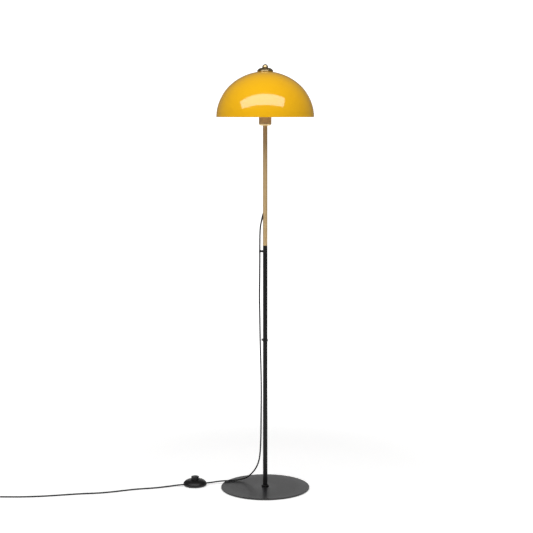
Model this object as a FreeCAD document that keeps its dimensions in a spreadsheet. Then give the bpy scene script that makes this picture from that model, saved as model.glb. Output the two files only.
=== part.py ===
# Mushroom floor lamp: a flat round foot, a slim pole in three screwed sections, a wide domed shade on
# a bracket over an E27 lampholder, and a lead with a foot switch lying on the floor beside it.
# Millimetres, +Z up. The origin is on the floor at the middle of the foot; the lead is on the -X side.
import FreeCAD, Part
import Sketcher
import math
import os

Vector = FreeCAD.Vector
doc = FreeCAD.newDocument("mushroom_floor_lamp")
sheet = doc.addObject("Spreadsheet::Sheet", "sizes")
subparts = []


# ---------------------------------------------------------------------------------------------
# Sizes: each is a plain number in the sheet with a name, and carries the expression that binds it
# ---------------------------------------------------------------------------------------------
class Size:
    """A size with its number and the expression that keeps a feature tied to the sheet."""

    def __init__(self, number, text):
        self.number = float(number)
        self.text = text

    def __add__(self, other):
        other = as_size(other)
        return Size(self.number + other.number, "(%s + %s)" % (self.text, other.text))

    def __sub__(self, other):
        other = as_size(other)
        return Size(self.number - other.number, "(%s - %s)" % (self.text, other.text))

    def __mul__(self, other):
        other = as_size(other)
        return Size(self.number * other.number, "(%s * %s)" % (self.text, other.text))

    def __rmul__(self, other):
        return as_size(other) * self

    def __truediv__(self, other):
        other = as_size(other)
        return Size(self.number / other.number, "(%s / %s)" % (self.text, other.text))

    def __neg__(self):
        return Size(-self.number, "(0 - %s)" % self.text)


def as_size(value):
    return value if isinstance(value, Size) else Size(value, repr(value))


def size(alias, number, note):
    """Writes one named size to the next row of the sheet."""
    size.row += 1
    sheet.set("A%d" % size.row, note)
    sheet.set("B%d" % size.row, str(number))
    sheet.setAlias("B%d" % size.row, alias)
    return Size(number, "sizes.%s" % alias)


size.row = 0

# Fits
slip_gap = size("slip_gap", 0.1, "radial gap of a ring slipped over a tube")
press_gap = size("press_gap", 0.05, "radial gap of a plug or thread in its bore")
seat_gap = size("seat_gap", 0.2, "gap of a loose piece over its seat")

# Foot
pad_radius = size("pad_radius", 134, "foam pad under the foot")
pad_thickness = size("pad_thickness", 1.5, "foam pad under the foot")
pad_bore = size("pad_bore", 14, "radius of the pad's hole round the base screw")
plate_radius = size("plate_radius", 138, "steel foot plate")
plate_thickness = size("plate_thickness", 4, "steel foot plate")
plate_edge = size("plate_edge", 0.6, "rounded upper edge of the plate")
base_screw_radius = size("base_screw_radius", 4, "M8 countersunk screw")
base_screw_length = size("base_screw_length", 30, "M8 countersunk screw")
base_screw_head = size("base_screw_head", 7.6, "radius of the countersunk head")
base_screw_socket = size("base_screw_socket", 2.5, "half width across flats of its hex socket")
base_screw_socket_depth = size("base_screw_socket_depth", 2.6, "depth of its hex socket")

# Pole
pole_radius = size("pole_radius", 7, "outer radius of all three tubes")
pole_wall = size("pole_wall", 1, "tube wall")
pole_edge = size("pole_edge", 0.35, "chamfer at each tube end")
lower_tube_length = size("lower_tube_length", 398, "black tube on the foot")
middle_tube_length = size("middle_tube_length", 360, "black tube above it")
upper_tube_length = size("upper_tube_length", 366, "gold tube")
foot_plug_length = size("foot_plug_length", 30, "threaded plug in the foot of the pole")
spigot_length = size("spigot_length", 22, "pressed part of a joint stud")
joint_stud_radius = size("joint_stud_radius", 5, "M10 stud between two tubes")
joint_stud_reach = size("joint_stud_reach", 16, "length of the stud above the joint")
joint_bush_length = size("joint_bush_length", 18, "threaded bush in a tube end")
collar_radius = size("collar_radius", 11.3, "collar round the foot of the pole")
collar_height = size("collar_height", 4.4, "collar round the foot of the pole")
collar_round = size("collar_round", 1.8, "rounded upper edge of the collar")

# Lead
cord_radius = size("cord_radius", 2.3, "two core lead")
core_radius = size("core_radius", 0.9, "one insulated core")
core_spacing = size("core_spacing", 1.15, "half the distance between the two cores")
exit_reach = size("exit_reach", 10.3, "distance of the lead's exit from the pole's axis")
exit_rise = size("exit_rise", 79.1, "height of the lead's exit over the upper joint")
exit_lean = size("exit_lean", 16, "lean of the exit bush from the pole, degrees")
exit_bush_radius = size("exit_bush_radius", 3.4, "rubber bush in the tube's slot")
exit_bush_length = size("exit_bush_length", 28, "rubber bush in the tube's slot")
exit_bush_gap = size("exit_bush_gap", 0.3, "radial play of the lead in the bush")

# Lead clips
clip_height = size("clip_height", 6.6, "moulded lead clip")
clip_wall = size("clip_wall", 1.3, "wall of its band and hook")
clip_opening = size("clip_opening", 110, "opening of the band, degrees")
clip_hook_reach = size("clip_hook_reach", 16.5, "pole axis to lead axis in the clip")
clip_hook_gap = size("clip_hook_gap", 0.3, "radial play of the lead in the hook")
clip_hook_opening = size("clip_hook_opening", 90, "mouth of the hook, degrees")
clip_arm_width = size("clip_arm_width", 2.4, "arm between band and hook")
upper_clip_drop = size("upper_clip_drop", 17.5, "middle of the upper clip under the upper joint")
lower_clip_rise = size("lower_clip_rise", 65.5, "middle of the lower clip over the lower joint")
lower_clip_turn = size("lower_clip_turn", -62, "turn of the lower clip to the back, degrees")

# Lampholder
cup_radius = size("cup_radius", 19.15, "brass cup round the lampholder")
cup_wall = size("cup_wall", 0.8, "spun wall of the cup")
cup_height = size("cup_height", 48, "brass cup")
cup_corner = size("cup_corner", 4.5, "outer radius of the cup's lower corner")
nipple_radius = size("nipple_radius", 5, "hollow M10 nipple")
nipple_bore = size("nipple_bore", 3.6, "bore of the nipple")
nipple_length = size("nipple_length", 26, "hollow M10 nipple")
nipple_depth = size("nipple_depth", 14, "length of the nipple in the tube's bush")
nut_corner = size("nut_corner", 8.1, "corner radius of the nipple nut")
nut_height = size("nut_height", 3, "nipple nut")
socket_radius = size("socket_radius", 16.4, "outside of the lampholder")
socket_wall = size("socket_wall", 1.8, "moulded wall of the lampholder")
socket_base_height = size("socket_base_height", 18, "lower half of the lampholder")
socket_floor = size("socket_floor", 3, "floor of the lower half")
socket_core_height = size("socket_core_height", 9, "contact block")
socket_top = size("socket_top", 8.4, "height of the skirt's thread above its flange")
socket_flange = size("socket_flange", 1.8, "flange that rests on the cup")
shell_radius = size("shell_radius", 13.4, "inside of the screw shell that takes the lamp")
shell_wall = size("shell_wall", 0.5, "brass of the screw shell")
shell_height = size("shell_height", 29, "screw shell")
shell_lip = size("shell_lip", 8, "radius of the hole in the shell's floor")
contact_radius = size("contact_radius", 4, "centre contact")
contact_height = size("contact_height", 3, "centre contact")
contact_edge = size("contact_edge", 1, "rounded edge of the centre contact")
ring_radius = size("ring_radius", 21, "ring nut that clamps the bracket")
ring_height = size("ring_height", 6, "ring nut that clamps the bracket")
terminal_reach = size("terminal_reach", 8.5, "lampholder terminals from the axis")
terminal_head = size("terminal_head", 2.2, "radius of a terminal screw's head")
terminal_shank = size("terminal_shank", 1.4, "radius of a terminal screw's shank")
terminal_head_height = size("terminal_head_height", 2, "height of a terminal screw's head")
terminal_shank_length = size("terminal_shank_length", 6, "shank of a terminal screw")
terminal_cover = size("terminal_cover", 1, "block left over a terminal screw")

# Lamp (bulb)
bulb_cap_radius = size("bulb_cap_radius", 13.1, "E27 screw cap")
bulb_cap_height = size("bulb_cap_height", 22, "E27 screw cap")
bulb_cap_wall = size("bulb_cap_wall", 0.5, "E27 screw cap")
bulb_cap_lip = size("bulb_cap_lip", 3, "width of the cap's inturned lower edge")
bulb_cap_edge = size("bulb_cap_edge", 0.8, "chamfer of the cap's lower edge")
bulb_tip_radius = size("bulb_tip_radius", 4.7, "solder contact")
bulb_tip_height = size("bulb_tip_height", 1.5, "solder contact")
bulb_insulator_height = size("bulb_insulator_height", 3, "glass insulator")
bulb_insulator_tip = size("bulb_insulator_tip", 5.6, "radius of the insulator's lower end")
bulb_radius = size("bulb_radius", 30, "A60 bulb")
bulb_housing_height = size("bulb_housing_height", 36, "moulded lower half")
bulb_dome_height = size("bulb_dome_height", 45, "opal upper half")
bulb_wall = size("bulb_wall", 1.4, "wall of both halves")
bulb_collar = size("bulb_collar", 1.4, "neck of the housing outside the cap")
bulb_collar_height = size("bulb_collar_height", 4, "neck of the housing")
bulb_bow = size("bulb_bow", 60, "radius of the housing's hollow curves")
bulb_waist_radius = size("bulb_waist_radius", 21, "housing where its two curves meet")
bulb_waist_height = size("bulb_waist_height", 21.6, "housing where its two curves meet")
bulb_seam = size("bulb_seam", 0.6, "inset of the seam between the halves")
bulb_board = size("bulb_board", 1.2, "thickness of the light board")
bulb_board_inset = size("bulb_board_inset", 4.4, "light board's edge from the bulb's outside")

# Shade and its bracket
bracket_width = size("bracket_width", 12, "steel strip")
bracket_thickness = size("bracket_thickness", 2, "steel strip")
bracket_reach = size("bracket_reach", 38, "outside of the arms from the axis")
bracket_ring = size("bracket_ring", 24, "outer radius of the clamped ring")
bracket_lap = size("bracket_lap", 4, "overlap of the arms and the ring")
bracket_shoulder = size("bracket_shoulder", 20, "outer bend at the top")
bracket_heel = size("bracket_heel", 5, "outer bend at the bottom")
shade_radius = size("shade_radius", 150, "outer radius of the dome")
shade_height = size("shade_height", 138.3, "rim to crown")
shade_wall = size("shade_wall", 1.2, "spun wall of the dome")
shade_rim_rise = size("shade_rim_rise", 25.7, "height of the rim over the top of the pole")
shade_side_bend = size("shade_side_bend", 130.6, "radius of the dome's curve above the rim")
shade_bead = size("shade_bead", 0.9, "radius of the rolled edge")
shade_hole = size("shade_hole", 3.4, "hole in the crown")
stud_radius = size("stud_radius", 3, "M6 stud of the finial")
stud_collar_radius = size("stud_collar_radius", 6, "collar of the stud")
stud_collar = size("stud_collar", 3.1, "thickness of the stud's collar")
stud_rivet = size("stud_rivet", 4.6, "radius of the stud's riveted end")
washer_radius = size("washer_radius", 9, "soft washer under the crown")
washer_thickness = size("washer_thickness", 1.5, "soft washer under the crown")
cap_radius = size("cap_radius", 24.5, "polished cap on the crown")
cap_height = size("cap_height", 11.3, "rim of the cap to its seat")
cap_wall = size("cap_wall", 1, "spun wall of the cap")
cap_seat = size("cap_seat", 9.6, "flat of the cap under the ball")
cap_side = size("cap_side", 3, "straight side of the cap")
cap_bend = size("cap_bend", 15, "radius of the cap's rounded shoulder")
ball_radius = size("ball_radius", 9.2, "ball of the finial")
ball_rise = size("ball_rise", 2.1, "middle of the ball over its seat")
ball_bore_depth = size("ball_bore_depth", 7, "threaded hole in the ball")

# Foot switch
switch_x = size("switch_x", -221.3, "middle of the switch on the floor")
switch_y = size("switch_y", 25.6, "middle of the switch on the floor")
switch_turn = size("switch_turn", 14.5, "direction of the lead through the switch, degrees")
switch_radius = size("switch_radius", 36.85, "outside of the skirt")
switch_wall = size("switch_wall", 2, "moulded wall")
switch_foot = size("switch_foot", 1.2, "rubber feet")
switch_foot_radius = size("switch_foot_radius", 4, "rubber feet")
switch_foot_reach = size("switch_foot_reach", 20, "rubber feet, along and across the lead")
switch_floor = size("switch_floor", 2, "thickness of the base")
switch_skirt_top = size("switch_skirt_top", 8.2, "top of the upright skirt")
switch_shoulder_radius = size("switch_shoulder_radius", 22, "upper end of the rounded shoulder")
switch_shoulder_height = size("switch_shoulder_height", 19.6, "upper end of the rounded shoulder")
switch_shoulder_bend = size("switch_shoulder_bend", 21, "radius of the shoulder's curve")
switch_crown = size("switch_crown", 21, "height of the cover round the button")
switch_gap = size("switch_gap", 0.4, "lower edge of the cover over the base's underside")
switch_tuck = size("switch_tuck", 2.3, "inset of the skirt's lower edge")
switch_flare = size("switch_flare", 4.4, "height over which the skirt widens")
switch_lip = size("switch_lip", 1.1, "thickness of the skirt's lower edge")
switch_mouth_edge = size("switch_mouth_edge", 0.5, "chamfer round the button's hole")
switch_flute_count = size("switch_flute_count", 40, "grip flutes round the skirt")
switch_flute_width = size("switch_flute_width", 1.9, "width of a flute")
switch_flute_depth = size("switch_flute_depth", 0.5, "depth of a flute")
switch_flute_top = size("switch_flute_top", 9.7, "upper end of the flutes")
lead_height = size("lead_height", 5.8, "lead's axis where it enters the switch")
lead_end = size("lead_end", 23, "end of the lead's sheath from the switch's middle")
button_radius = size("button_radius", 12.15, "push button")
button_top = size("button_top", 30.3, "top of the button at rest")
button_gap = size("button_gap", 0.35, "radial gap in the cover")
button_flange = size("button_flange", 14.2, "flange that keeps the button in")
button_flange_thickness = size("button_flange_thickness", 2, "flange that keeps the button in")
button_wall = size("button_wall", 2, "side wall of the button")
button_roof = size("button_roof", 2.5, "top wall of the button")
button_round = size("button_round", 1.5, "rounded top edge")
button_travel = size("button_travel", 3.5, "full press")
button_stop_gap = size("button_stop_gap", 0.4, "flange under the cover at rest")
drive_inner = size("drive_inner", 5.9, "drive sleeve of the button, inner radius")
drive_outer = size("drive_outer", 8.1, "drive sleeve of the button, outer radius")
tooth_height = size("tooth_height", 1.4, "crown teeth")
tooth_inner = size("tooth_inner", 6.2, "crown teeth, inner radius")
tooth_length = size("tooth_length", 1.6, "crown teeth, along the radius")
tooth_run = size("tooth_run", 2.4, "crown teeth, along the circle")
tooth_count = size("tooth_count", 8, "crown teeth")
tooth_play = size("tooth_play", 0.4, "gap between the teeth at full press")
tooth_root = size("tooth_root", 0.3, "depth of a tooth in the piece that carries it")
rotor_radius = size("rotor_radius", 9, "switch rotor")
rotor_bottom = size("rotor_bottom", 5.2, "underside of the rotor")
rotor_rim = size("rotor_rim", 8.6, "top of the rotor's disc")
rotor_crown = size("rotor_crown", 10, "root of the rotor's teeth")
axle_radius = size("axle_radius", 2.5, "post that the rotor turns on")
axle_gap = size("axle_gap", 0.08, "running gap on the post")
axle_top = size("axle_top", 12, "top of the post")
axle_shoulder = size("axle_shoulder", 3.2, "radius of the post's shoulder")
rotor_gap = size("rotor_gap", 0.1, "rotor over the post's shoulder")
bridge_thickness = size("bridge_thickness", 0.5, "brass bridge under the rotor")
bridge_reach = size("bridge_reach", 8, "half length of the bridge")
bridge_hub = size("bridge_hub", 4.8, "hub of the bridge")
bridge_width = size("bridge_width", 4.6, "arms of the bridge, and the leaves")
leaf_thickness = size("leaf_thickness", 0.7, "contact leaves")
leaf_outer = size("leaf_outer", 19, "outer end of a leaf")
leaf_inner = size("leaf_inner", 5.6, "inner end of a leaf")
leaf_pad = size("leaf_pad", 1.4, "contact pad at a leaf's inner end")
leaf_slope = size("leaf_slope", 0.8, "run of a leaf's slope down to the base")
leaf_gap = size("leaf_gap", 0.4, "bridge over the leaves")
screw_reach = size("screw_reach", 16.5, "terminal screw in the switch")
screw_head = size("screw_head", 2.4, "radius of a small screw's head")
screw_head_height = size("screw_head_height", 1.7, "height of a small screw's head")
screw_shank = size("screw_shank", 1.2, "radius of a small screw's shank")
screw_grip = size("screw_grip", 1.4, "small screw's end in the base under a leaf")
cover_screw_head = size("cover_screw_head", 0.8, "height of a cover screw's head")
cover_screw_inset = size("cover_screw_inset", 0.15, "its head over the base's underside")
cover_screw_stop = size("cover_screw_stop", 4, "its end under the top of the posts")
spring_radius = size("spring_radius", 11, "middle radius of the button's spring")
spring_wire = size("spring_wire", 0.5, "radius of its wire")
spring_turns = size("spring_turns", 4.5, "turns of the spring")
spring_seat_width = size("spring_seat_width", 1.4, "half width of its seat on the base")
spring_seat_height = size("spring_seat_height", 1.3, "its seat over the base")
post_reach = size("post_reach", 26, "screw posts of the cover, across the lead")
post_radius = size("post_radius", 3.2, "screw posts of the cover")
post_top = size("post_top", 15.6, "upper end of the posts, in the cover's wall")
clamp_reach = size("clamp_reach", 27, "lead clamps from the middle")
clamp_length = size("clamp_length", 5, "lead clamps, along the lead")
clamp_half_width = size("clamp_half_width", 8.6, "lead clamps, across the lead")
clamp_thickness = size("clamp_thickness", 2.4, "lead clamps")
clamp_post_reach = size("clamp_post_reach", 5.8, "clamp posts, across the lead")
clamp_post_radius = size("clamp_post_radius", 2.4, "clamp posts")
clamp_screw_depth = size("clamp_screw_depth", 4, "clamp screws in their posts")
clamp_screw_head = size("clamp_screw_head", 2.1, "radius of a clamp screw's head")
clamp_screw_height = size("clamp_screw_height", 1.3, "height of a clamp screw's head")

# Plug: flat two pin mains plug, unearthed
plug_x = size("plug_x", -885.3, "plug's axis on the floor")
plug_y = size("plug_y", -36, "rear end of the plug's strain relief")
plug_half_height = size("plug_half_height", 6.85, "half the plug's thickness")
plug_half_width = size("plug_half_width", 17.65, "half the plug's width")
plug_flat = size("plug_flat", 10.5, "half width of the plug's flat faces")
plug_rear_half_height = size("plug_rear_half_height", 5.5, "half the thickness of its rear end")
plug_rear_half_width = size("plug_rear_half_width", 8.8, "half the width of its rear end")
plug_rear_flat = size("plug_rear_flat", 5.3, "half width of the rear end's flats")
plug_length = size("plug_length", 33, "moulded body")
plug_taper = size("plug_taper", 23, "tapered rear part of the body")
pin_radius = size("pin_radius", 2, "plug pins")
pin_length = size("pin_length", 19, "plug pins")
pin_round = size("pin_round", 1, "rounded end of a pin")
pin_spacing = size("pin_spacing", 9.2, "half the distance between the pins")
relief_length = size("relief_length", 24, "plug's strain relief")
relief_radius = size("relief_radius", 4.6, "plug's strain relief at the body")
relief_tip = size("relief_tip", 2.9, "plug's strain relief at its end")

# Coil of spare lead
coil_x = size("coil_x", -856, "middle of the coil on the floor")
coil_y = size("coil_y", -78, "middle of the coil on the floor")
coil_radius = size("coil_radius", 28, "outer turn of the coil")
coil_step = size("coil_step", 5.2, "turn beside turn")
coil_layer_gap = size("coil_layer_gap", 0.55, "gap between the two layers")
coil_turns = size("coil_turns", 3.25, "turns of the coil")
coil_reversal = size("coil_reversal", 1.5, "turns before the spiral runs out again")
coil_climb = size("coil_climb", 0.5, "turns over which it climbs a layer")
doc.recompute()

# Heights that follow from the sizes
plate_top = pad_thickness + plate_thickness
lower_joint = plate_top + lower_tube_length
upper_joint = lower_joint + middle_tube_length
pole_top = upper_joint + upper_tube_length
pole_bore = pole_radius - pole_wall
cup_floor = pole_top + cup_wall
cup_top = pole_top + cup_height
bracket_bottom = cup_top + socket_flange + seat_gap
exit_height = upper_joint + exit_rise
shade_rim_height = pole_top + shade_rim_rise
crown = shade_rim_height + shade_height
overrun = 1  # every cutting tool runs this far past the piece


# ---------------------------------------------------------------------------------------------
# Making: sketches pinned to the sheet, turned and padded bodies, and solids along a route
# ---------------------------------------------------------------------------------------------
def keep(piece):
    """Counts a finished object as a sub-part."""
    subparts.append(piece)
    return piece


def set_placement(piece, x=0, y=0, z=0, turn=0):
    """Places a piece by expressions, turned about the vertical."""
    for axis, value in (("x", x), ("y", y), ("z", z)):
        piece.setExpression("Placement.Base.%s" % axis, as_size(value).text)
    if as_size(turn).number:
        piece.Placement.Rotation = FreeCAD.Rotation(Vector(0, 0, 1), as_size(turn).number)
        piece.setExpression("Placement.Rotation.Angle", as_size(turn).text)
    return piece


def new_body(label):
    body = doc.addObject("PartDesign::Body", label)
    body.Label = label
    return body


def new_sketch(body, plane, name, offset=None):
    """A sketch on one of the body's own origin planes, lifted off it by offset."""
    sketch = body.newObject("Sketcher::SketchObject", name)
    origin_plane = [item for item in body.Origin.OriginFeatures if item.Role == plane][0]
    sketch.AttachmentSupport = (origin_plane, "")
    sketch.MapMode = "FlatFace"
    if offset is not None:
        sketch.AttachmentOffset = FreeCAD.Placement(Vector(0, 0, offset.number), FreeCAD.Rotation())
        sketch.setExpression("AttachmentOffset.Base.z", offset.text)
    return sketch


def pin(sketch, side, point, direction, value):
    """Fixes one coordinate of a sketch point to a size, or to the axis where it is zero."""
    value = as_size(value)
    if value.text in ("0", "0.0"):
        axis = -2 if direction == "DistanceX" else -1
        sketch.addConstraint(Sketcher.Constraint("PointOnObject", side, point, axis))
        return
    number = sketch.addConstraint(Sketcher.Constraint(direction, side, point, value.number))
    sketch.setExpression("Constraints[%d]" % number, value.text)


def draw(sketch, corners, bends=None):
    """A closed outline through the corners. bends gives the radius of a side that is an arc, by the
    number of the corner it starts from: positive where the outline turns left along it."""
    bends = bends or {}
    points = [Vector(as_size(x).number, as_size(y).number, 0) for x, y in corners]
    sides = []
    for number, start in enumerate(points):
        finish = points[(number + 1) % len(points)]
        if number not in bends:
            side = sketch.addGeometry(Part.LineSegment(start, finish), False)
            sides.append((side, 1, 2))
            continue
        radius = as_size(bends[number])
        left = radius.number > 0
        chord = finish - start
        inward = Vector(-chord.y, chord.x, 0).normalize() * (1 if left else -1)
        depth = math.sqrt(max(radius.number ** 2 - (chord.Length / 2) ** 2, 0))
        middle = (start + finish) * 0.5 + inward * depth
        first, last = (start, finish) if left else (finish, start)
        angles = [math.atan2(p.y - middle.y, p.x - middle.x) for p in (first, last)]
        if angles[1] <= angles[0]:
            angles[1] += 2 * math.pi
        circle = Part.Circle(middle, Vector(0, 0, 1), abs(radius.number))
        side = sketch.addGeometry(Part.ArcOfCircle(circle, angles[0], angles[1]), False)
        sides.append((side, 1, 2) if left else (side, 2, 1))
        constraint = sketch.addConstraint(Sketcher.Constraint("Radius", side, abs(radius.number)))
        positive = radius if left else -radius
        sketch.setExpression("Constraints[%d]" % constraint, positive.text)
    for number, (side, first, last) in enumerate(sides):
        next_side, next_first, _ = sides[(number + 1) % len(sides)]
        sketch.addConstraint(Sketcher.Constraint("Coincident", side, last, next_side, next_first))
    for (side, first, _), (x, y) in zip(sides, corners):
        pin(sketch, side, first, "DistanceX", x)
        pin(sketch, side, first, "DistanceY", y)


def draw_circle(sketch, radius, x=0, y=0):
    radius = as_size(radius)
    middle = Vector(as_size(x).number, as_size(y).number, 0)
    circle = sketch.addGeometry(Part.Circle(middle, Vector(0, 0, 1), radius.number), False)
    pin(sketch, circle, 3, "DistanceX", x)
    pin(sketch, circle, 3, "DistanceY", y)
    number = sketch.addConstraint(Sketcher.Constraint("Radius", circle, radius.number))
    sketch.setExpression("Constraints[%d]" % number, radius.text)


def turned(label, corners, bends=None, **place):
    """A piece turned on the lathe: corners are (radius, height) over the piece's own base."""
    body = new_body(label)
    sketch = new_sketch(body, "XZ_Plane", label + "_profile")
    draw(sketch, corners, bends)
    turning = body.newObject("PartDesign::Revolution", label + "_turning")
    turning.Profile = sketch
    turning.ReferenceAxis = (sketch, ["V_Axis"])
    turning.Angle = 360
    sketch.Visibility = False
    body.Tip = turning
    return set_placement(body, **place)


def add_pad(body, sketch, length, midplane=False):
    pad = body.newObject("PartDesign::Pad", sketch.Name + "_pad")
    pad.Profile = sketch
    pad.Length = as_size(length).number
    pad.setExpression("Length", as_size(length).text)
    pad.Midplane = midplane
    body.Tip = pad
    return pad


def add_pocket(body, sketch, length):
    """Cuts upwards from a sketch on the body's lower plane."""
    pocket = body.newObject("PartDesign::Pocket", sketch.Name + "_pocket")
    pocket.Profile = sketch
    pocket.Length = as_size(length).number
    pocket.setExpression("Length", as_size(length).text)
    pocket.Reversed = True
    body.Tip = pocket
    return pocket


def add_polar_pattern(body, feature, count):
    pattern = body.newObject("PartDesign::PolarPattern", feature.Name + "_pattern")
    axis = [item for item in body.Origin.OriginFeatures if item.Role == "Z_Axis"][0]
    pattern.Originals = [feature]
    pattern.Axis = (axis, [""])
    pattern.Angle = 360
    pattern.setExpression("Occurrences", count.text)
    pattern.Occurrences = int(count.number)
    body.Tip = pattern
    return pattern


def cylinder(name, radius, height, x=0, y=0, z=0, turn=0, angle=None):
    piece = doc.addObject("Part::Cylinder", name)
    piece.setExpression("Radius", as_size(radius).text)
    piece.setExpression("Height", as_size(height).text)
    if angle is not None:
        piece.setExpression("Angle", as_size(angle).text)
    return set_placement(piece, x, y, z, turn)


def box(name, length, width, height, x=0, y=0, z=0):
    piece = doc.addObject("Part::Box", name)
    piece.setExpression("Length", as_size(length).text)
    piece.setExpression("Width", as_size(width).text)
    piece.setExpression("Height", as_size(height).text)
    return set_placement(piece, x, y, z)


def fuse(label, pieces):
    joined = doc.addObject("Part::MultiFuse", label)
    joined.Label = label
    joined.Shapes = pieces
    return joined


def cut(label, base, tool):
    remainder = doc.addObject("Part::Cut", label)
    remainder.Label = label
    remainder.Base = base
    remainder.Tool = tool
    return remainder


def both_sides(label, piece, normal):
    """A node of like solids: the piece and its mirror image through the axis."""
    image = doc.addObject("Part::Mirroring", label + "_image")
    image.Source = piece
    image.Normal = normal
    pair = doc.addObject("Part::Compound", label)
    pair.Label = label
    pair.Links = [piece, image]
    return pair


def feature(label, shape, placement=None):
    piece = doc.addObject("Part::Feature", label)
    piece.Label = label
    piece.Shape = shape
    if placement is not None:
        piece.Placement = placement
    return piece


def route_edges(points, name):
    """Straight runs joined by tangent arcs, each as large as its two runs allow."""
    points = [Vector(*point) for point in points]
    edges = []
    radii = []
    reached = points[0]
    for before, corner, after in zip(points, points[1:], points[2:]):
        incoming = (corner - before).normalize()
        outgoing = (after - corner).normalize()
        turn = incoming.getAngle(outgoing)
        tangent = 0.45 * min((corner - before).Length, (after - corner).Length)
        radius = tangent / math.tan(turn / 2)
        start = corner - incoming * tangent
        finish = corner + outgoing * tangent
        inward = (outgoing - incoming).normalize()
        middle = corner + inward * (radius / math.cos(turn / 2) - radius)
        edges.append(Part.LineSegment(reached, start).toShape())
        edges.append(Part.Arc(start, middle, finish).toShape())
        reached = finish
        radii.append(radius)
    edges.append(Part.LineSegment(reached, points[-1]).toShape())
    if radii:
        print(name, "radii", " ".join("%.0f" % radius for radius in radii))
    return edges


def swept(edges, radius, name):
    """A round tube along the edges; its volume is held against its section times its length."""
    wire = Part.Wire(edges)
    start = edges[0].valueAt(edges[0].FirstParameter)
    heading = edges[0].tangentAt(edges[0].FirstParameter)
    section = Part.Wire([Part.Circle(start, heading, radius).toShape()])
    tube = wire.makePipeShell([section], True, False)
    expected = math.pi * radius ** 2 * wire.Length
    print(name, "length %.1f" % wire.Length, "volume ratio %.5f" % (tube.Volume / expected))
    return tube


def biarc(start, heading, finish, last_heading):
    """Two arcs that leave start along heading and reach finish along last_heading."""
    span = finish - start
    total = heading + last_heading
    square = total.dot(total) - 4
    linear = -2 * span.dot(total)
    reach = (-linear - math.sqrt(linear ** 2 - 4 * square * span.dot(span))) / (2 * square)
    first_knee = start + heading * reach
    last_knee = finish - last_heading * reach
    joint = (first_knee + last_knee) * 0.5
    arcs = []
    for a, knee, b in ((start, first_knee, joint), (joint, last_knee, finish)):
        chord = (a + b) * 0.5
        half = (b - a).Length / 2
        lift = (knee - chord).Length
        bend = math.atan2(lift, half)
        middle = chord + (knee - chord) * (half * math.tan(bend / 2) / lift)
        arcs.append(Part.Arc(a, middle, b).toShape())
    return arcs


def least_self_gap(edges, radius, spacing, apart):
    """Least gap between stretches of a tube that lie more than apart along it."""
    points = []
    travelled = 0.0
    for edge in edges:
        steps = max(2, int(edge.Length / spacing))
        for step in range(steps):
            fraction = step / steps
            at = edge.FirstParameter + (edge.LastParameter - edge.FirstParameter) * fraction
            points.append((travelled + edge.Length * fraction, edge.valueAt(at)))
        travelled += edge.Length
    least = None
    for number, (place, point) in enumerate(points):
        for other_place, other in points[number + 1:]:
            if other_place - place > apart:
                gap = point.distanceToPoint(other) - 2 * radius
                least = gap if least is None else min(least, gap)
    return least


# ---------------------------------------------------------------------------------------------
# Foot: foam pad, steel plate with a countersunk hole, screw, collar
# ---------------------------------------------------------------------------------------------
keep(turned("base_pad", [
    (pad_bore, 0), (pad_radius, 0), (pad_radius, pad_thickness), (pad_bore, pad_thickness)]))

screw_hole = base_screw_radius + seat_gap
screw_sink = base_screw_head + seat_gap
sink_depth = base_screw_head - base_screw_radius
keep(turned("base_plate", [
    (screw_sink, 0), (plate_radius, 0), (plate_radius, plate_thickness - plate_edge),
    (plate_radius - plate_edge, plate_thickness), (screw_hole, plate_thickness), (screw_hole, sink_depth)],
    {2: plate_edge}, z=pad_thickness))

screw_body = turned("base_screw", [
    (0, 0), (base_screw_head, 0), (base_screw_radius, sink_depth), (base_screw_radius, base_screw_length),
    (0, base_screw_length)], z=pad_thickness)
socket_sketch = new_sketch(screw_body, "XY_Plane", "base_screw_socket")
half_flat = base_screw_socket
corner = half_flat / math.cos(math.pi / 6)
draw(socket_sketch, [
    (corner, 0), (corner / 2, half_flat), (-corner / 2, half_flat), (-corner, 0),
    (-corner / 2, -half_flat), (corner / 2, -half_flat)])
add_pocket(screw_body, socket_sketch, base_screw_socket_depth)
keep(screw_body)

keep(turned("foot_collar", [
    (pole_radius + slip_gap, 0), (collar_radius, 0), (collar_radius, collar_height - collar_round),
    (collar_radius - collar_round, collar_height), (pole_radius + slip_gap, collar_height)],
    {2: collar_round}, z=plate_top))


# ---------------------------------------------------------------------------------------------
# Pole: three chamfered tubes, the plug at the foot, and a stud and bush at each joint
# ---------------------------------------------------------------------------------------------
def tube_profile(length):
    return [
        (pole_bore, 0), (pole_radius - pole_edge, 0), (pole_radius, pole_edge),
        (pole_radius, length - pole_edge), (pole_radius - pole_edge, length), (pole_bore, length)]


keep(turned("lower_tube", tube_profile(lower_tube_length), z=plate_top))
keep(turned("middle_tube", tube_profile(middle_tube_length), z=lower_joint))

plug_outside = pole_bore - press_gap
keep(turned("foot_plug", [
    (base_screw_radius + press_gap, 0), (plug_outside, 0), (plug_outside, foot_plug_length),
    (base_screw_radius + press_gap, foot_plug_length)], z=plate_top))

stud_top = spigot_length + joint_stud_reach
bush_bore = joint_stud_radius + press_gap
for label, joint in (("lower", lower_joint), ("upper", upper_joint)):
    keep(turned(label + "_joint_stud", [
        (0, 0), (plug_outside, 0), (plug_outside, spigot_length), (joint_stud_radius, spigot_length),
        (joint_stud_radius, stud_top - pole_edge), (joint_stud_radius - pole_edge, stud_top),
        (0, stud_top)], z=joint - spigot_length))
    keep(turned(label + "_joint_bush", [
        (bush_bore, 0), (plug_outside, 0), (plug_outside, joint_bush_length),
        (bush_bore, joint_bush_length)], z=joint + seat_gap))

keep(turned("tube_top_bush", [
    (nipple_radius + press_gap, 0), (plug_outside, 0), (plug_outside, joint_bush_length),
    (nipple_radius + press_gap, joint_bush_length)], z=pole_top - joint_bush_length))

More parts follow.
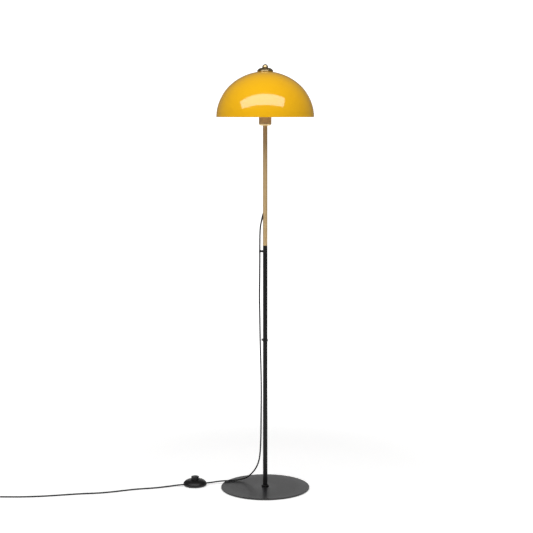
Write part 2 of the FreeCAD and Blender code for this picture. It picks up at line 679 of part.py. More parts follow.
# The gold tube has a slanting slot for the lead; the rubber bush lines it
def along_exit(name, radius, length, start=0):
    """A cylinder along the lead's exit, from start mm above its outer face."""
    piece = cylinder(name, radius, length)
    sideways = "%s * sin(%s) - %s" % (start, exit_lean.text, exit_reach.text)
    upwards = "%s * cos(%s) + %s" % (start, exit_lean.text, exit_height.text)
    piece.setExpression("Placement.Base.x", sideways)
    piece.setExpression("Placement.Base.z", upwards)
    piece.Placement.Rotation = FreeCAD.Rotation(Vector(0, 1, 0), exit_lean.number)
    piece.setExpression("Placement.Rotation.Angle", exit_lean.text)
    return piece


upper_body = turned("upper_tube_blank", tube_profile(upper_tube_length), z=upper_joint)
slot = along_exit("lead_slot", exit_bush_radius + press_gap, exit_bush_length + 2 * overrun, -overrun)
keep(cut("upper_tube", upper_body, slot))

bush_blank = along_exit("exit_bush_blank", exit_bush_radius, exit_bush_length)
bush_bore = cord_radius + exit_bush_gap
bush_hole = along_exit("exit_bush_hole", bush_bore, exit_bush_length + 2 * overrun, -overrun)
keep(cut("exit_bush", bush_blank, bush_hole))


# ---------------------------------------------------------------------------------------------
# Lead clips: a band sprung round the tube, an arm, and an open hook
# ---------------------------------------------------------------------------------------------
def lead_clip(label, height, turn):
    band_radius = pole_radius + slip_gap + clip_wall
    hook_bore = cord_radius + clip_hook_gap
    hook_radius = hook_bore + clip_wall
    band = cylinder(label + "_band", band_radius, clip_height, turn=clip_opening / 2, angle=-clip_opening + 360)
    hook = cylinder(
        label + "_hook", hook_radius, clip_height, x=-clip_hook_reach,
        turn=clip_hook_opening / 2 + 180, angle=-clip_hook_opening + 360)
    arm_start = clip_hook_reach - hook_bore
    arm = box(
        label + "_arm", arm_start - pole_radius - slip_gap, clip_arm_width, clip_height,
        x=-arm_start, y=-clip_arm_width / 2)
    solid = fuse(label + "_solid", [band, hook, arm])
    through = clip_height + 2 * overrun
    pole_hole = cylinder(label + "_pole_hole", pole_radius + slip_gap, through, z=-overrun)
    lead_hole = cylinder(label + "_lead_hole", hook_bore, through, x=-clip_hook_reach, z=-overrun)
    holes = fuse(label + "_holes", [pole_hole, lead_hole])
    clip = cut(label, solid, holes)
    return keep(set_placement(clip, z=height - clip_height / 2, turn=turn))


lead_clip("upper_cord_clip", upper_joint - upper_clip_drop, 0)
lead_clip("lower_cord_clip", lower_joint + lower_clip_rise, lower_clip_turn)


# ---------------------------------------------------------------------------------------------
# Lampholder: hollow nipple and nut, brass cup, and an E27 holder with a threaded skirt
# ---------------------------------------------------------------------------------------------
nipple_bottom = pole_top - nipple_depth
keep(turned("threaded_nipple", [
    (nipple_bore, 0), (nipple_radius, 0), (nipple_radius, nipple_length), (nipple_bore, nipple_length)],
    z=nipple_bottom))

nut_blank = doc.addObject("Part::Prism", "nipple_nut_blank")
nut_blank.Polygon = 6
nut_blank.setExpression("Circumradius", nut_corner.text)
nut_blank.setExpression("Height", nut_height.text)
nut_hole = cylinder("nipple_nut_hole", nipple_radius + press_gap, nut_height + 2 * overrun, z=-overrun)
keep(set_placement(cut("nipple_nut", nut_blank, nut_hole), z=cup_floor))

cup_hole = nipple_radius + slip_gap
keep(turned("lampholder_cup", [
    (cup_hole, 0), (cup_radius - cup_corner, 0), (cup_radius, cup_corner), (cup_radius, cup_height),
    (cup_radius - cup_wall, cup_height), (cup_radius - cup_wall, cup_corner),
    (cup_radius - cup_corner, cup_wall), (cup_hole, cup_wall)],
    {1: cup_corner, 5: -(cup_corner - cup_wall)}, z=pole_top))

socket_bore = socket_radius - socket_wall
holder_bottom = cup_floor + nut_height + seat_gap
holder_split = holder_bottom + socket_base_height
keep(turned("holder_base", [
    (nipple_radius + press_gap, 0), (socket_radius, 0), (socket_radius, socket_base_height),
    (socket_bore, socket_base_height), (socket_bore, socket_floor),
    (nipple_radius + press_gap, socket_floor)], z=holder_bottom))

core_top = holder_split + socket_core_height / 2
core_bottom = core_top - socket_core_height
core_outside = socket_bore - seat_gap
core_blank = turned("contact_block_blank", [
    (0, 0), (core_outside, 0), (core_outside, socket_core_height), (0, socket_core_height)],
    z=core_bottom)
core_hole = cylinder(
    "contact_block_hole", terminal_shank + press_gap, socket_core_height - terminal_cover + overrun,
    x=terminal_reach, z=core_bottom - overrun)
core_holes = both_sides("contact_block_holes", core_hole, Vector(1, 0, 0))
keep(cut("contact_block", core_blank, core_holes))

terminal_length = terminal_head_height + terminal_shank_length
terminal = turned("terminal_screw", [
    (0, 0), (terminal_head, 0), (terminal_head, terminal_head_height), (terminal_shank, terminal_head_height),
    (terminal_shank, terminal_length), (0, terminal_length)],
    x=terminal_reach, z=core_bottom - seat_gap - terminal_head_height)
keep(both_sides("holder_terminal_screws", terminal, Vector(1, 0, 0)))

flange_radius = cup_radius - seat_gap
skirt_length = cup_top + seat_gap - holder_split
flange_top = skirt_length + socket_flange
skirt_top = flange_top + socket_top
keep(turned("holder_skirt", [
    (socket_bore, 0), (socket_radius, 0), (socket_radius, skirt_length), (flange_radius, skirt_length),
    (flange_radius, flange_top), (socket_radius, flange_top), (socket_radius, skirt_top),
    (socket_bore, skirt_top)], z=holder_split))

shell_outside = shell_radius + shell_wall
keep(turned("screw_shell", [
    (shell_lip, 0), (shell_outside, 0), (shell_outside, shell_height), (shell_radius, shell_height),
    (shell_radius, shell_wall), (shell_lip, shell_wall)], z=core_top + seat_gap))

keep(turned("centre_contact", [
    (0, 0), (contact_radius, 0), (contact_radius, contact_height - contact_edge),
    (contact_radius - contact_edge, contact_height), (0, contact_height)],
    {2: contact_edge}, z=core_top + seat_gap))

keep(turned("holder_ring", [
    (socket_radius + slip_gap, 0), (ring_radius, 0), (ring_radius, ring_height),
    (socket_radius + slip_gap, ring_height)], z=bracket_bottom + bracket_thickness + seat_gap / 2))


# ---------------------------------------------------------------------------------------------
# Bulb: A60 shape with an E27 screw cap, a moulded housing, a light board and an opal dome
# ---------------------------------------------------------------------------------------------
bulb_bottom = core_top + seat_gap + contact_height + seat_gap
insulator_bottom = bulb_bottom + bulb_tip_height
bulb_cap_bottom = insulator_bottom + bulb_insulator_height
bulb_neck = bulb_cap_bottom + bulb_cap_height
bulb_split = bulb_neck + bulb_housing_height
tip_edge = bulb_tip_radius - bulb_tip_height + seat_gap
keep(turned("bulb_tip_contact", [
    (0, 0), (tip_edge, 0), (bulb_tip_radius, bulb_tip_height), (0, bulb_tip_height)], z=bulb_bottom))
keep(turned("bulb_insulator", [
    (0, 0), (bulb_insulator_tip, 0), (bulb_cap_radius - bulb_cap_lip / 2, bulb_insulator_height),
    (0, bulb_insulator_height)], z=insulator_bottom))
cap_bore = bulb_cap_radius - bulb_cap_wall
keep(turned("bulb_screw_cap", [
    (bulb_cap_radius - bulb_cap_lip, 0), (bulb_cap_radius - bulb_cap_edge, 0), (bulb_cap_radius, bulb_cap_edge),
    (bulb_cap_radius, bulb_cap_height), (cap_bore, bulb_cap_height), (cap_bore, bulb_cap_edge + bulb_cap_wall),
    (bulb_cap_radius - bulb_cap_lip, bulb_cap_wall)], z=bulb_cap_bottom))

collar_outside = bulb_cap_radius + bulb_collar
seam_radius = bulb_radius - bulb_seam
keep(turned("bulb_housing", [
    (cap_bore, 0), (collar_outside - bulb_seam, 0), (collar_outside, bulb_collar_height),
    (bulb_waist_radius, bulb_waist_height), (seam_radius, bulb_housing_height),
    (seam_radius - bulb_wall, bulb_housing_height), (bulb_waist_radius - bulb_wall, bulb_waist_height + bulb_seam),
    (collar_outside - bulb_wall, bulb_collar_height + bulb_seam), (cap_bore, bulb_collar_height)],
    {2: -bulb_bow, 3: -bulb_bow, 5: bulb_bow, 6: bulb_bow}, z=bulb_neck))
board_radius = bulb_radius - bulb_board_inset
keep(turned("bulb_light_board", [
    (0, 0), (board_radius, 0), (board_radius, bulb_board), (0, bulb_board)],
    z=bulb_split - bulb_board - bulb_seam))
dome_shoulder = bulb_dome_height - bulb_radius
keep(turned("bulb_dome", [
    (seam_radius, 0), (bulb_radius, dome_shoulder), (0, bulb_dome_height), (0, bulb_dome_height - bulb_wall),
    (bulb_radius - bulb_wall, dome_shoulder), (seam_radius - bulb_wall, 0)],
    {1: bulb_radius, 3: -(bulb_radius - bulb_wall)}, z=bulb_split))


# ---------------------------------------------------------------------------------------------
# Shade: bracket clamped on the holder, stud, washer, dome with rolled edge, cap and ball
# ---------------------------------------------------------------------------------------------
def root(value):
    return Size(math.sqrt(value.number), "sqrt(%s)" % value.text)


# The dome's outline is two arcs that meet smoothly: a tighter one above the rim, a flatter one over it
side_reach = shade_radius - shade_side_bend
crown_bend = (side_reach * side_reach + shade_height * shade_height - shade_side_bend * shade_side_bend) / (
    (shade_height - shade_side_bend) * 2)
bend_step = crown_bend - shade_side_bend


def crown_drop(across, wall=0):
    """How far the dome has fallen from its crown at a radius."""
    bend = crown_bend - wall
    return bend - root(bend * bend - across * across)


washer_top = crown - shade_wall - seat_gap - crown_drop(washer_radius, shade_wall)
stud_collar_bottom = washer_top - washer_thickness - stud_collar
bracket_rise = stud_collar_bottom - bracket_bottom
reach = bracket_reach
inside_reach = bracket_reach - bracket_thickness
shoulder = bracket_shoulder
heel = bracket_heel
strip = bracket_thickness
foot_end = bracket_ring - bracket_lap
bracket = new_body("shade_bracket")
strip_sketch = new_sketch(bracket, "XZ_Plane", "shade_bracket_strip")
draw(strip_sketch, [
    (foot_end, 0), (reach - heel, 0), (reach, heel), (reach, bracket_rise - shoulder),
    (reach - shoulder, bracket_rise), (-(reach - shoulder), bracket_rise),
    (-reach, bracket_rise - shoulder), (-reach, heel), (-(reach - heel), 0), (-foot_end, 0),
    (-foot_end, strip), (-(reach - heel), strip), (-inside_reach, heel),
    (-inside_reach, bracket_rise - shoulder), (-(reach - shoulder), bracket_rise - strip),
    (reach - shoulder, bracket_rise - strip), (inside_reach, bracket_rise - shoulder),
    (inside_reach, heel), (reach - heel, strip), (foot_end, strip)],
    {1: heel, 3: shoulder, 5: shoulder, 7: heel, 11: -(heel - strip), 13: -(shoulder - strip),
     15: -(shoulder - strip), 17: -(heel - strip)})
add_pad(bracket, strip_sketch, bracket_width, midplane=True)
ring_sketch = new_sketch(bracket, "XY_Plane", "shade_bracket_ring")
draw_circle(ring_sketch, bracket_ring)
draw_circle(ring_sketch, socket_radius + slip_gap)
add_pad(bracket, ring_sketch, strip)
hole_sketch = new_sketch(bracket, "XY_Plane", "shade_bracket_hole")
draw_circle(hole_sketch, stud_radius + slip_gap)
add_pocket(bracket, hole_sketch, bracket_rise + strip)
keep(set_placement(bracket, z=bracket_bottom))


cap_inside = cap_radius - cap_wall
cap_bottom = crown - crown_drop(cap_inside) + slip_gap
ball_seat = cap_bottom + cap_height
rivet_head = stud_collar / 2
stud_bottom = stud_collar_bottom - strip - rivet_head
stud_length = ball_seat + ball_bore_depth - seat_gap * 5 - stud_bottom
collar_foot = rivet_head + strip
collar_top = collar_foot + stud_collar
keep(turned("finial_stud", [
    (0, 0), (stud_rivet, 0), (stud_rivet, rivet_head), (stud_radius, rivet_head),
    (stud_radius, collar_foot), (stud_collar_radius, collar_foot), (stud_collar_radius, collar_top),
    (stud_radius, collar_top), (stud_radius, stud_length), (0, stud_length)], z=stud_bottom))
keep(turned("shade_washer", [
    (stud_radius + slip_gap, 0), (washer_radius, 0), (washer_radius, washer_thickness),
    (stud_radius + slip_gap, washer_thickness)], z=washer_top - washer_thickness))


def dome_points(wall):
    """Rim, meeting of the two arcs, and edge of the crown's hole, for a surface wall mm inside."""
    return [
        (shade_radius - wall, 0),
        (side_reach * (crown_bend - wall) / bend_step,
         (shade_side_bend - wall) * (crown_bend - shade_height) / bend_step),
        (shade_hole, shade_height - wall - crown_drop(shade_hole, wall))]


dome_blank = turned(
    "shade_dome", dome_points(as_size(0)) + dome_points(shade_wall)[::-1],
    {0: shade_side_bend, 1: crown_bend, 3: -(crown_bend - shade_wall), 4: -(shade_side_bend - shade_wall)})
bead = doc.addObject("Part::Torus", "shade_bead_ring")
bead.setExpression("Radius1", (shade_radius - shade_bead).text)
bead.setExpression("Radius2", shade_bead.text)
set_placement(bead, z=shade_bead)
keep(set_placement(fuse("shade", [dome_blank, bead]), z=shade_rim_height))

cap_hole = stud_radius + slip_gap * 2
keep(turned("finial_cap", [
    (cap_inside, 0), (cap_radius, 0), (cap_radius, cap_side), (cap_seat, cap_height), (cap_hole, cap_height),
    (cap_hole, cap_height - cap_wall), (cap_seat, cap_height - cap_wall), (cap_inside, cap_side)],
    {2: cap_bend}, z=cap_bottom))

ball_foot = root(ball_radius * ball_radius - ball_rise * ball_rise)
ball_top = ball_rise + ball_radius
keep(turned("finial_ball", [
    (stud_radius + press_gap, 0), (ball_foot, 0), (0, ball_top), (0, ball_bore_depth),
    (stud_radius + press_gap, ball_bore_depth)], {1: ball_radius}, z=ball_seat))


# ---------------------------------------------------------------------------------------------
# Foot switch: made round its own middle with the lead along X, then turned and set on the floor
# ---------------------------------------------------------------------------------------------
def keep_in_switch(piece):
    return keep(set_placement(piece, x=switch_x, y=switch_y, turn=switch_turn))


def at_switch(label, piece):
    """A node of the switch whose solids are already in the switch's own frame."""
    holder = doc.addObject("Part::Compound", label)
    holder.Label = label
    holder.Links = [piece]
    return keep_in_switch(holder)


base_bottom = switch_foot
base_top = switch_foot + switch_floor
skirt_bottom = base_bottom + switch_gap
flare_top = skirt_bottom + switch_flare
skirt_inside = switch_radius - switch_wall
skirt_mouth = switch_radius - switch_tuck - switch_lip
hole_in_cover = button_radius + button_gap
flare_bend = (switch_tuck * switch_tuck + switch_flare * switch_flare) / (switch_tuck * 2)
cover_blank = turned("switch_cover_shell", [
    (skirt_mouth, skirt_bottom), (switch_radius - switch_tuck, skirt_bottom), (switch_radius, flare_top),
    (switch_radius, switch_skirt_top), (switch_shoulder_radius, switch_shoulder_height),
    (hole_in_cover + switch_mouth_edge, switch_crown), (hole_in_cover, switch_crown - switch_mouth_edge),
    (hole_in_cover, switch_crown - switch_wall), (switch_shoulder_radius, switch_shoulder_height - switch_wall),
    (skirt_inside, switch_skirt_top), (skirt_inside, flare_top)],
    {1: flare_bend, 3: switch_shoulder_bend, 8: -(switch_shoulder_bend - switch_wall)})
flute_sketch = new_sketch(cover_blank, "XY_Plane", "switch_flute")
flute_root = switch_radius - switch_flute_depth
flute_mouth = switch_radius + switch_flute_depth
draw(flute_sketch, [
    (flute_root, 0), (flute_mouth, -switch_flute_width), (flute_mouth, switch_flute_width)])
flute = add_pocket(cover_blank, flute_sketch, switch_flute_top)
add_polar_pattern(cover_blank, flute, switch_flute_count)

thread_hole = screw_shank + press_gap
post_bottom = base_top + seat_gap
post = cylinder("switch_cover_post", post_radius, post_top - post_bottom, y=post_reach, z=post_bottom)
posts = both_sides("switch_cover_posts", post, Vector(0, 1, 0))
cover_solid = fuse("switch_cover_solid", [cover_blank, posts])
post_hole = cylinder(
    "switch_post_hole", thread_hole, post_top - switch_wall - post_bottom + overrun, y=post_reach,
    z=post_bottom - overrun)
post_holes = both_sides("switch_post_holes", post_hole, Vector(0, 1, 0))
notch_radius = cord_radius + exit_bush_gap
notch_length = switch_radius * 2 + 2 * overrun
notch_start = -(notch_length / 2)
lead_notch = cylinder("switch_lead_notch", notch_radius, notch_length, x=notch_start, z=lead_height)
lead_notch.Placement.Rotation = FreeCAD.Rotation(Vector(0, 1, 0), 90)
notch_slot = box("switch_lead_slot", notch_length, notch_radius * 2, lead_height, x=notch_start, y=-notch_radius)
cover_cuts = fuse("switch_cover_cuts", [post_holes, lead_notch, notch_slot])
keep_in_switch(cut("switch_cover", cover_solid, cover_cuts))

base_radius = skirt_mouth - button_gap
seat_outside = spring_radius + spring_seat_width
seat_inside = spring_radius - spring_seat_width
seat_top = base_top + spring_seat_height
axle_foot = rotor_bottom - rotor_gap
base_blank = turned("switch_base_disc", [
    (0, base_bottom), (base_radius, base_bottom), (base_radius, base_top), (seat_outside, base_top),
    (seat_outside, seat_top), (seat_inside, seat_top), (seat_inside, base_top), (axle_shoulder, base_top),
    (axle_shoulder, axle_foot), (axle_radius, axle_foot), (axle_radius, axle_top), (0, axle_top)])
clamp_post_top = lead_height + cord_radius + rotor_gap
clamp_post = cylinder(
    "switch_clamp_post", clamp_post_radius, clamp_post_top - base_bottom, x=clamp_reach,
    y=clamp_post_reach, z=base_bottom)
clamp_posts = both_sides(
    "switch_clamp_posts", both_sides("switch_clamp_post_pair", clamp_post, Vector(0, 1, 0)), Vector(1, 0, 0))
base_solid = fuse("switch_base_solid", [base_blank, clamp_posts])
leaf_slot = box(
    "switch_leaf_slot", spring_seat_width * 2 + 4 * overrun, bridge_width + 2 * leaf_gap,
    spring_seat_height + overrun, x=seat_inside - 2 * overrun, y=-(bridge_width / 2 + leaf_gap), z=base_top)
leaf_slots = both_sides("switch_leaf_slots", leaf_slot, Vector(1, 0, 0))
through_base = switch_floor + 2 * overrun
terminal_hole = cylinder(
    "switch_terminal_hole", thread_hole, through_base, x=screw_reach, z=base_bottom - overrun)
terminal_holes = both_sides("switch_terminal_holes", terminal_hole, Vector(1, 0, 0))
cover_screw_hole = cylinder(
    "switch_base_hole", thread_hole, through_base, y=post_reach, z=base_bottom - overrun)
cover_screw_sink = cylinder(
    "switch_base_sink", screw_head + seat_gap, cover_screw_head + cover_screw_inset + overrun, y=post_reach,
    z=base_bottom - overrun)
cover_screw_holes = both_sides(
    "switch_base_holes", fuse("switch_base_hole_set", [cover_screw_hole, cover_screw_sink]), Vector(0, 1, 0))
clamp_hole = cylinder(
    "switch_clamp_hole", thread_hole, clamp_screw_depth + 2 * overrun, x=clamp_reach, y=clamp_post_reach,
    z=clamp_post_top - clamp_screw_depth - overrun)
clamp_holes = both_sides(
    "switch_clamp_holes", both_sides("switch_clamp_hole_pair", clamp_hole, Vector(0, 1, 0)), Vector(1, 0, 0))
base_cuts = fuse("switch_base_cuts", [leaf_slots, terminal_holes, cover_screw_holes, clamp_holes])
keep_in_switch(cut("switch_base", base_solid, base_cuts))

foot_reach = switch_foot_reach
rubber_foot = cylinder("switch_foot", switch_foot_radius, switch_foot, x=foot_reach, y=foot_reach)
at_switch("switch_feet", both_sides(
    "switch_foot_set", both_sides("switch_foot_pair", rubber_foot, Vector(0, 1, 0)), Vector(1, 0, 0)))

cover_screw_bottom = base_bottom + cover_screw_inset
cover_screw_length = post_top - cover_screw_stop - cover_screw_bottom
cover_screw = turned("switch_cover_screw", [
    (0, 0), (screw_head, 0), (screw_head, cover_screw_head), (screw_shank, cover_screw_head),
    (screw_shank, cover_screw_length), (0, cover_screw_length)], y=post_reach, z=cover_screw_bottom)
at_switch("switch_cover_screws", both_sides("switch_cover_screw_pair", cover_screw, Vector(0, 1, 0)))

clamp_blank = box("switch_clamp_bar", clamp_length, clamp_half_width * 2, clamp_thickness,
                  x=clamp_reach - clamp_length / 2, y=-clamp_half_width, z=clamp_post_top)
clamp_through = cylinder(
    "switch_clamp_through", thread_hole, clamp_thickness + 2 * overrun, x=clamp_reach, y=clamp_post_reach,
    z=clamp_post_top - overrun)
clamp_bar = cut("switch_clamp", clamp_blank, both_sides("switch_clamp_through_pair", clamp_through, Vector(0, 1, 0)))
at_switch("switch_cord_clamps", both_sides("switch_clamp_pair", clamp_bar, Vector(1, 0, 0)))

clamp_shank = clamp_screw_depth + clamp_thickness
clamp_screw_top = clamp_shank + clamp_screw_height
clamp_screw = turned("switch_clamp_screw", [
    (0, 0), (screw_shank, 0), (screw_shank, clamp_shank), (clamp_screw_head, clamp_shank),
    (clamp_screw_head, clamp_screw_top), (0, clamp_screw_top)],
    x=clamp_reach, y=clamp_post_reach, z=clamp_post_top - clamp_screw_depth)
at_switch("switch_clamp_screws", both_sides(
    "switch_clamp_screw_set", both_sides("switch_clamp_screw_pair", clamp_screw, Vector(0, 1, 0)),
    Vector(1, 0, 0)))

# Each leaf lies on the base under its terminal screw and rises to a contact pad under the bridge
leaf = new_body("switch_leaf")
leaf_sketch = new_sketch(leaf, "XZ_Plane", "switch_leaf_profile")
pad_top = rotor_bottom - bridge_thickness - leaf_gap
pad_end = leaf_inner + leaf_pad
slope_end = pad_end + leaf_slope
bend_width = leaf_thickness / 2
draw(leaf_sketch, [
    (leaf_inner, pad_top - leaf_thickness), (pad_end, pad_top - leaf_thickness), (slope_end, base_top),
    (leaf_outer, base_top), (leaf_outer, base_top + leaf_thickness),
    (slope_end + bend_width, base_top + leaf_thickness), (pad_end + bend_width, pad_top), (leaf_inner, pad_top)])
add_pad(leaf, leaf_sketch, bridge_width, midplane=True)
leaf_hole = cylinder("switch_leaf_hole", thread_hole, leaf_thickness + 2 * overrun, x=screw_reach,
                     z=base_top - overrun)
leaf_cut = cut("switch_leaf_bored", leaf, leaf_hole)
at_switch("switch_contact_leaves", both_sides("switch_leaf_pair", leaf_cut, Vector(1, 0, 0)))

grip_top = screw_grip + leaf_thickness
terminal_top = grip_top + screw_head_height
switch_terminal = turned("switch_terminal", [
    (0, 0), (screw_shank, 0), (screw_shank, grip_top), (screw_head, grip_top), (screw_head, terminal_top),
    (0, terminal_top)], x=screw_reach, z=base_top - screw_grip)
at_switch("switch_terminal_screws", both_sides("switch_terminal_pair", switch_terminal, Vector(1, 0, 0)))

# Crown teeth: the button's drive sleeve meets the rotor's crown over the last stretch of a press,
# and each slope turns the rotor on
drive_root = rotor_crown + tooth_height + tooth_play + button_travel
button_roof_inside = button_top - button_roof
flange_top_rest = switch_crown - switch_wall - button_stop_gap
flange_bottom_rest = flange_top_rest - button_flange_thickness
button_inside = button_radius - button_wall
button_body = turned("switch_button", [
    (button_inside, flange_bottom_rest), (button_flange, flange_bottom_rest), (button_flange, flange_top_rest),
    (button_radius, flange_top_rest), (button_radius, button_top - button_round),
    (button_radius - button_round, button_top), (0, button_top), (0, button_roof_inside),
    (drive_inner, button_roof_inside), (drive_inner, drive_root), (drive_outer, drive_root),
    (drive_outer, button_roof_inside), (button_inside, button_roof_inside)], {4: button_round})


def crown_teeth(body, root_height, direction):
    """A ring of wedge teeth with one upright side, standing up or hanging down from a root."""
    name = body.Name + "_tooth"
    sketch = new_sketch(body, "YZ_Plane", name, offset=tooth_inner)
    half = tooth_run / 2
    if direction > 0:
        draw(sketch, [(-half, root_height - tooth_root), (half, root_height - tooth_root),
                      (half, root_height + tooth_height), (-half, root_height)])
    else:
        draw(sketch, [(-half, root_height + tooth_root), (-half, root_height - tooth_height),
                      (half, root_height), (half, root_height + tooth_root)])
    add_polar_pattern(body, add_pad(body, sketch, tooth_length), tooth_count)


crown_teeth(button_body, drive_root, -1)
keep_in_switch(button_body)

rotor_hole = axle_radius + axle_gap
rotor_body = turned("switch_rotor", [
    (rotor_hole, rotor_bottom), (rotor_radius, rotor_bottom), (rotor_radius, rotor_rim),
    (drive_outer, rotor_rim), (drive_outer, rotor_crown), (drive_inner, rotor_crown),
    (drive_inner, rotor_rim), (rotor_hole, rotor_rim)])
crown_teeth(rotor_body, rotor_crown, 1)
keep_in_switch(rotor_body)

bridge_bottom = rotor_bottom - bridge_thickness
bridge_bar = box(
    "switch_bridge_bar", bridge_reach * 2, bridge_width, bridge_thickness, x=-bridge_reach,
    y=-bridge_width / 2, z=bridge_bottom)
bridge_disc = cylinder("switch_bridge_disc", bridge_hub, bridge_thickness, z=bridge_bottom)
bridge_blank = fuse("switch_bridge_blank", [bridge_bar, bridge_disc])
bridge_hole = cylinder(
    "switch_bridge_hole", axle_shoulder + seat_gap, bridge_thickness + 2 * overrun, z=bridge_bottom - overrun)
keep_in_switch(cut("switch_contact_bridge", bridge_blank, bridge_hole))

# Spring between the seat on the base and the button's flange
spring_foot = seat_top + spring_wire + rotor_gap
spring_head = flange_bottom_rest - spring_wire - rotor_gap
half_turns_in_all = int(2 * spring_turns.number)
spring_edges = []
spring_rise = (spring_head.number - spring_foot.number) / half_turns_in_all
slope = spring_rise / (math.pi * spring_radius.number)


def spring_point(half_turns):
    angle = math.pi * half_turns
    place = Vector(
        spring_radius.number * math.cos(angle), spring_radius.number * math.sin(angle),
        spring_foot.number + spring_rise * half_turns)
    return place, Vector(-math.sin(angle), math.cos(angle), slope).normalize()


for half_turn in range(half_turns_in_all):
    spring_edges += biarc(*spring_point(half_turn), *spring_point(half_turn + 1))
spring_gap = least_self_gap(
    spring_edges, spring_wire.number, spring_wire.number, math.pi * spring_radius.number)
print("switch_spring least gap %.2f" % spring_gap)
keep_in_switch(feature("switch_spring", swept(spring_edges, spring_wire.number, "switch_spring")))


# ---------------------------------------------------------------------------------------------
# Leads: sheathed lead inside the gold tube, cores in the holder and the switch, and the free lead
# ---------------------------------------------------------------------------------------------
exit_slope = math.tan(math.radians(exit_lean.number))
cable_top = pole_top.number + nipple_length.number - nipple_depth.number
cable_bend = exit_height.number + exit_reach.number / exit_slope
exit_point = (-exit_reach.number, 0, exit_height.number)
keep(feature("inner_cable", swept(
    route_edges([(0, 0, cable_top), (0, 0, cable_bend), exit_point], "inner_cable"),
    cord_radius.number, "inner_cable")))

spread = core_spacing.number
core_root = cable_top + 0.4
core_tip = terminal_reach.number - terminal_head.number - core_radius.number
terminal_middle = core_bottom.number - terminal_head_height.number / 2 - seat_gap.number
core_route = [
    (spread, 0, core_root), (spread + 0.4, 0, core_root + 1.5), (core_tip, 0, terminal_middle)]
core = swept(route_edges(core_route, "holder_core"), core_radius.number, "holder_core")
core_image = core.mirror(Vector(), Vector(1, 0, 0))
keep(feature("holder_core_leads", Part.makeCompound([core, core_image])))

sheath_face = lead_end.number - 0.3
live_route = [
    (sheath_face, spread, lead_height.number), (sheath_face - 1.8, spread, lead_height.number - 0.3),
    (screw_reach.number + screw_head.number + 0.2, spread, lead_height.number - 0.7)]
live = swept(route_edges(live_route, "switch_live"), core_radius.number, "switch_live")
live_image = live.mirror(Vector(), Vector(1, 0, 0))
neutral_half = [(sheath_face, -spread), (20.4, -1.9), (18.2, -4.6), (15.6, -9.0), (11.6, -13.6), (5.5, -17.0)]
neutral_route = [(x, y, lead_height.number) for x, y in neutral_half]
neutral_route += [(-x, y, lead_height.number) for x, y in reversed(neutral_half)]
neutral = swept(route_edges(neutral_route, "switch_neutral"), core_radius.number, "switch_neutral")
keep_in_switch(feature("switch_core_leads", Part.makeCompound([live, live_image, neutral])))


def in_switch(along, across, height):
    """A point given along and across the lead's direction through the switch."""
    turn = math.radians(switch_turn.number)
    x = switch_x.number + along * math.cos(turn) - across * math.sin(turn)
    y = switch_y.number + along * math.sin(turn) + across * math.cos(turn)
    return (x, y, height)


# Down beside the pole through the upper clip, over the foot's back edge and along the floor
drop_route = [
    exit_point, (-14.2, 0, 829.1), (-16.1, 0, 803), (-16.5, 0, 768), (-16.5, 0, 724), (-17.0, 1, 664),
    (-17.9, 2, 600), (-16.6, 3, 540), (-15.9, 3, 480), (-14.1, 3, 415), (-12.6, 3, 352), (-12.2, 3, 288),
    (-12.9, 3, 228), (-13.3, 4, 172), (-14.8, 6, 124), (-18.5, 16, 85), (-28, 34, 56), (-41, 54, 33),
    (-60, 63, 14), (-88, 60, 8.0), (-118, 53, 8.1), (-148, 46.5, 8.0), in_switch(50, 0, lead_height.number),
    in_switch(lead_end.number, 0, lead_height.number)]
keep(feature("cord_to_switch", swept(
    route_edges(drop_route, "cord_to_switch"), cord_radius.number, "cord_to_switch")))

floor_height = cord_radius.number + rotor_gap.number
straight_end = 2 * cord_radius.number
coil_start_x = coil_x.number + straight_end
coil_front_y = coil_y.number - coil_radius.number
run_route = [
    in_switch(-lead_end.number, 0, lead_height.number), in_switch(-50, 0, lead_height.number),
    (-300, 8, 3.0), (-343, -9.5, floor_height), (-400, -22, floor_height), (-440, -38, floor_height),
    (-478, -55, floor_height), (-520, -67, floor_height), (-572, -73.5, floor_height),
    (-630, -88, floor_height), (-688, -101, floor_height), (-746, -107, floor_height),
    (-800, coil_front_y, floor_height), (coil_start_x, coil_front_y, floor_height)]
keep(feature("cord_to_coil", swept(
    route_edges(run_route, "cord_to_coil"), cord_radius.number, "cord_to_coil")))


def coil_point(turns):
    """Place and heading after a number of turns: in on the floor, then out on the layer above."""
    reversal = coil_reversal.number
    layer = 2 * cord_radius.number + coil_layer_gap.number
    inwards = turns if turns <= reversal else 2 * reversal - turns
    radius = coil_radius.number - coil_step.number * inwards
    climb = min(max((turns - reversal) / coil_climb.number + 0.5, 0), 1)
    steepness = layer / coil_climb.number if 0 < climb < 1 else 0
    growth = 0 if turns == reversal else math.copysign(coil_step.number, turns - reversal)
    angle = -math.pi / 2 - 2 * math.pi * turns
    radial = Vector(math.cos(angle), math.sin(angle), 0)
    onward = Vector(math.sin(angle), -math.cos(angle), 0)
    place = Vector(coil_x.number, coil_y.number, floor_height + layer * climb) + radial * radius
    heading = onward * (2 * math.pi * radius) + radial * growth + Vector(0, 0, steepness)
    if turns in (0, coil_turns.number):
        heading = onward
    return place, heading.normalize()


coil_edges = []
first_point, first_heading = coil_point(0)
coil_edges.append(Part.LineSegment(first_point - first_heading * straight_end, first_point).toShape())
for quarter in range(int(4 * coil_turns.number)):
    coil_edges += biarc(*coil_point(quarter / 4), *coil_point((quarter + 1) / 4))
last_point, last_heading = coil_point(coil_turns.number)
coil_end = last_point + last_heading * straight_end
coil_edges.append(Part.LineSegment(last_point, coil_end).toShape())
coil_gap = least_self_gap(coil_edges, cord_radius.number, cord_radius.number, coil_radius.number)
print("cord_coil least gap %.2f" % coil_gap)
keep(feature("cord_coil", swept(coil_edges, cord_radius.number, "cord_coil")))

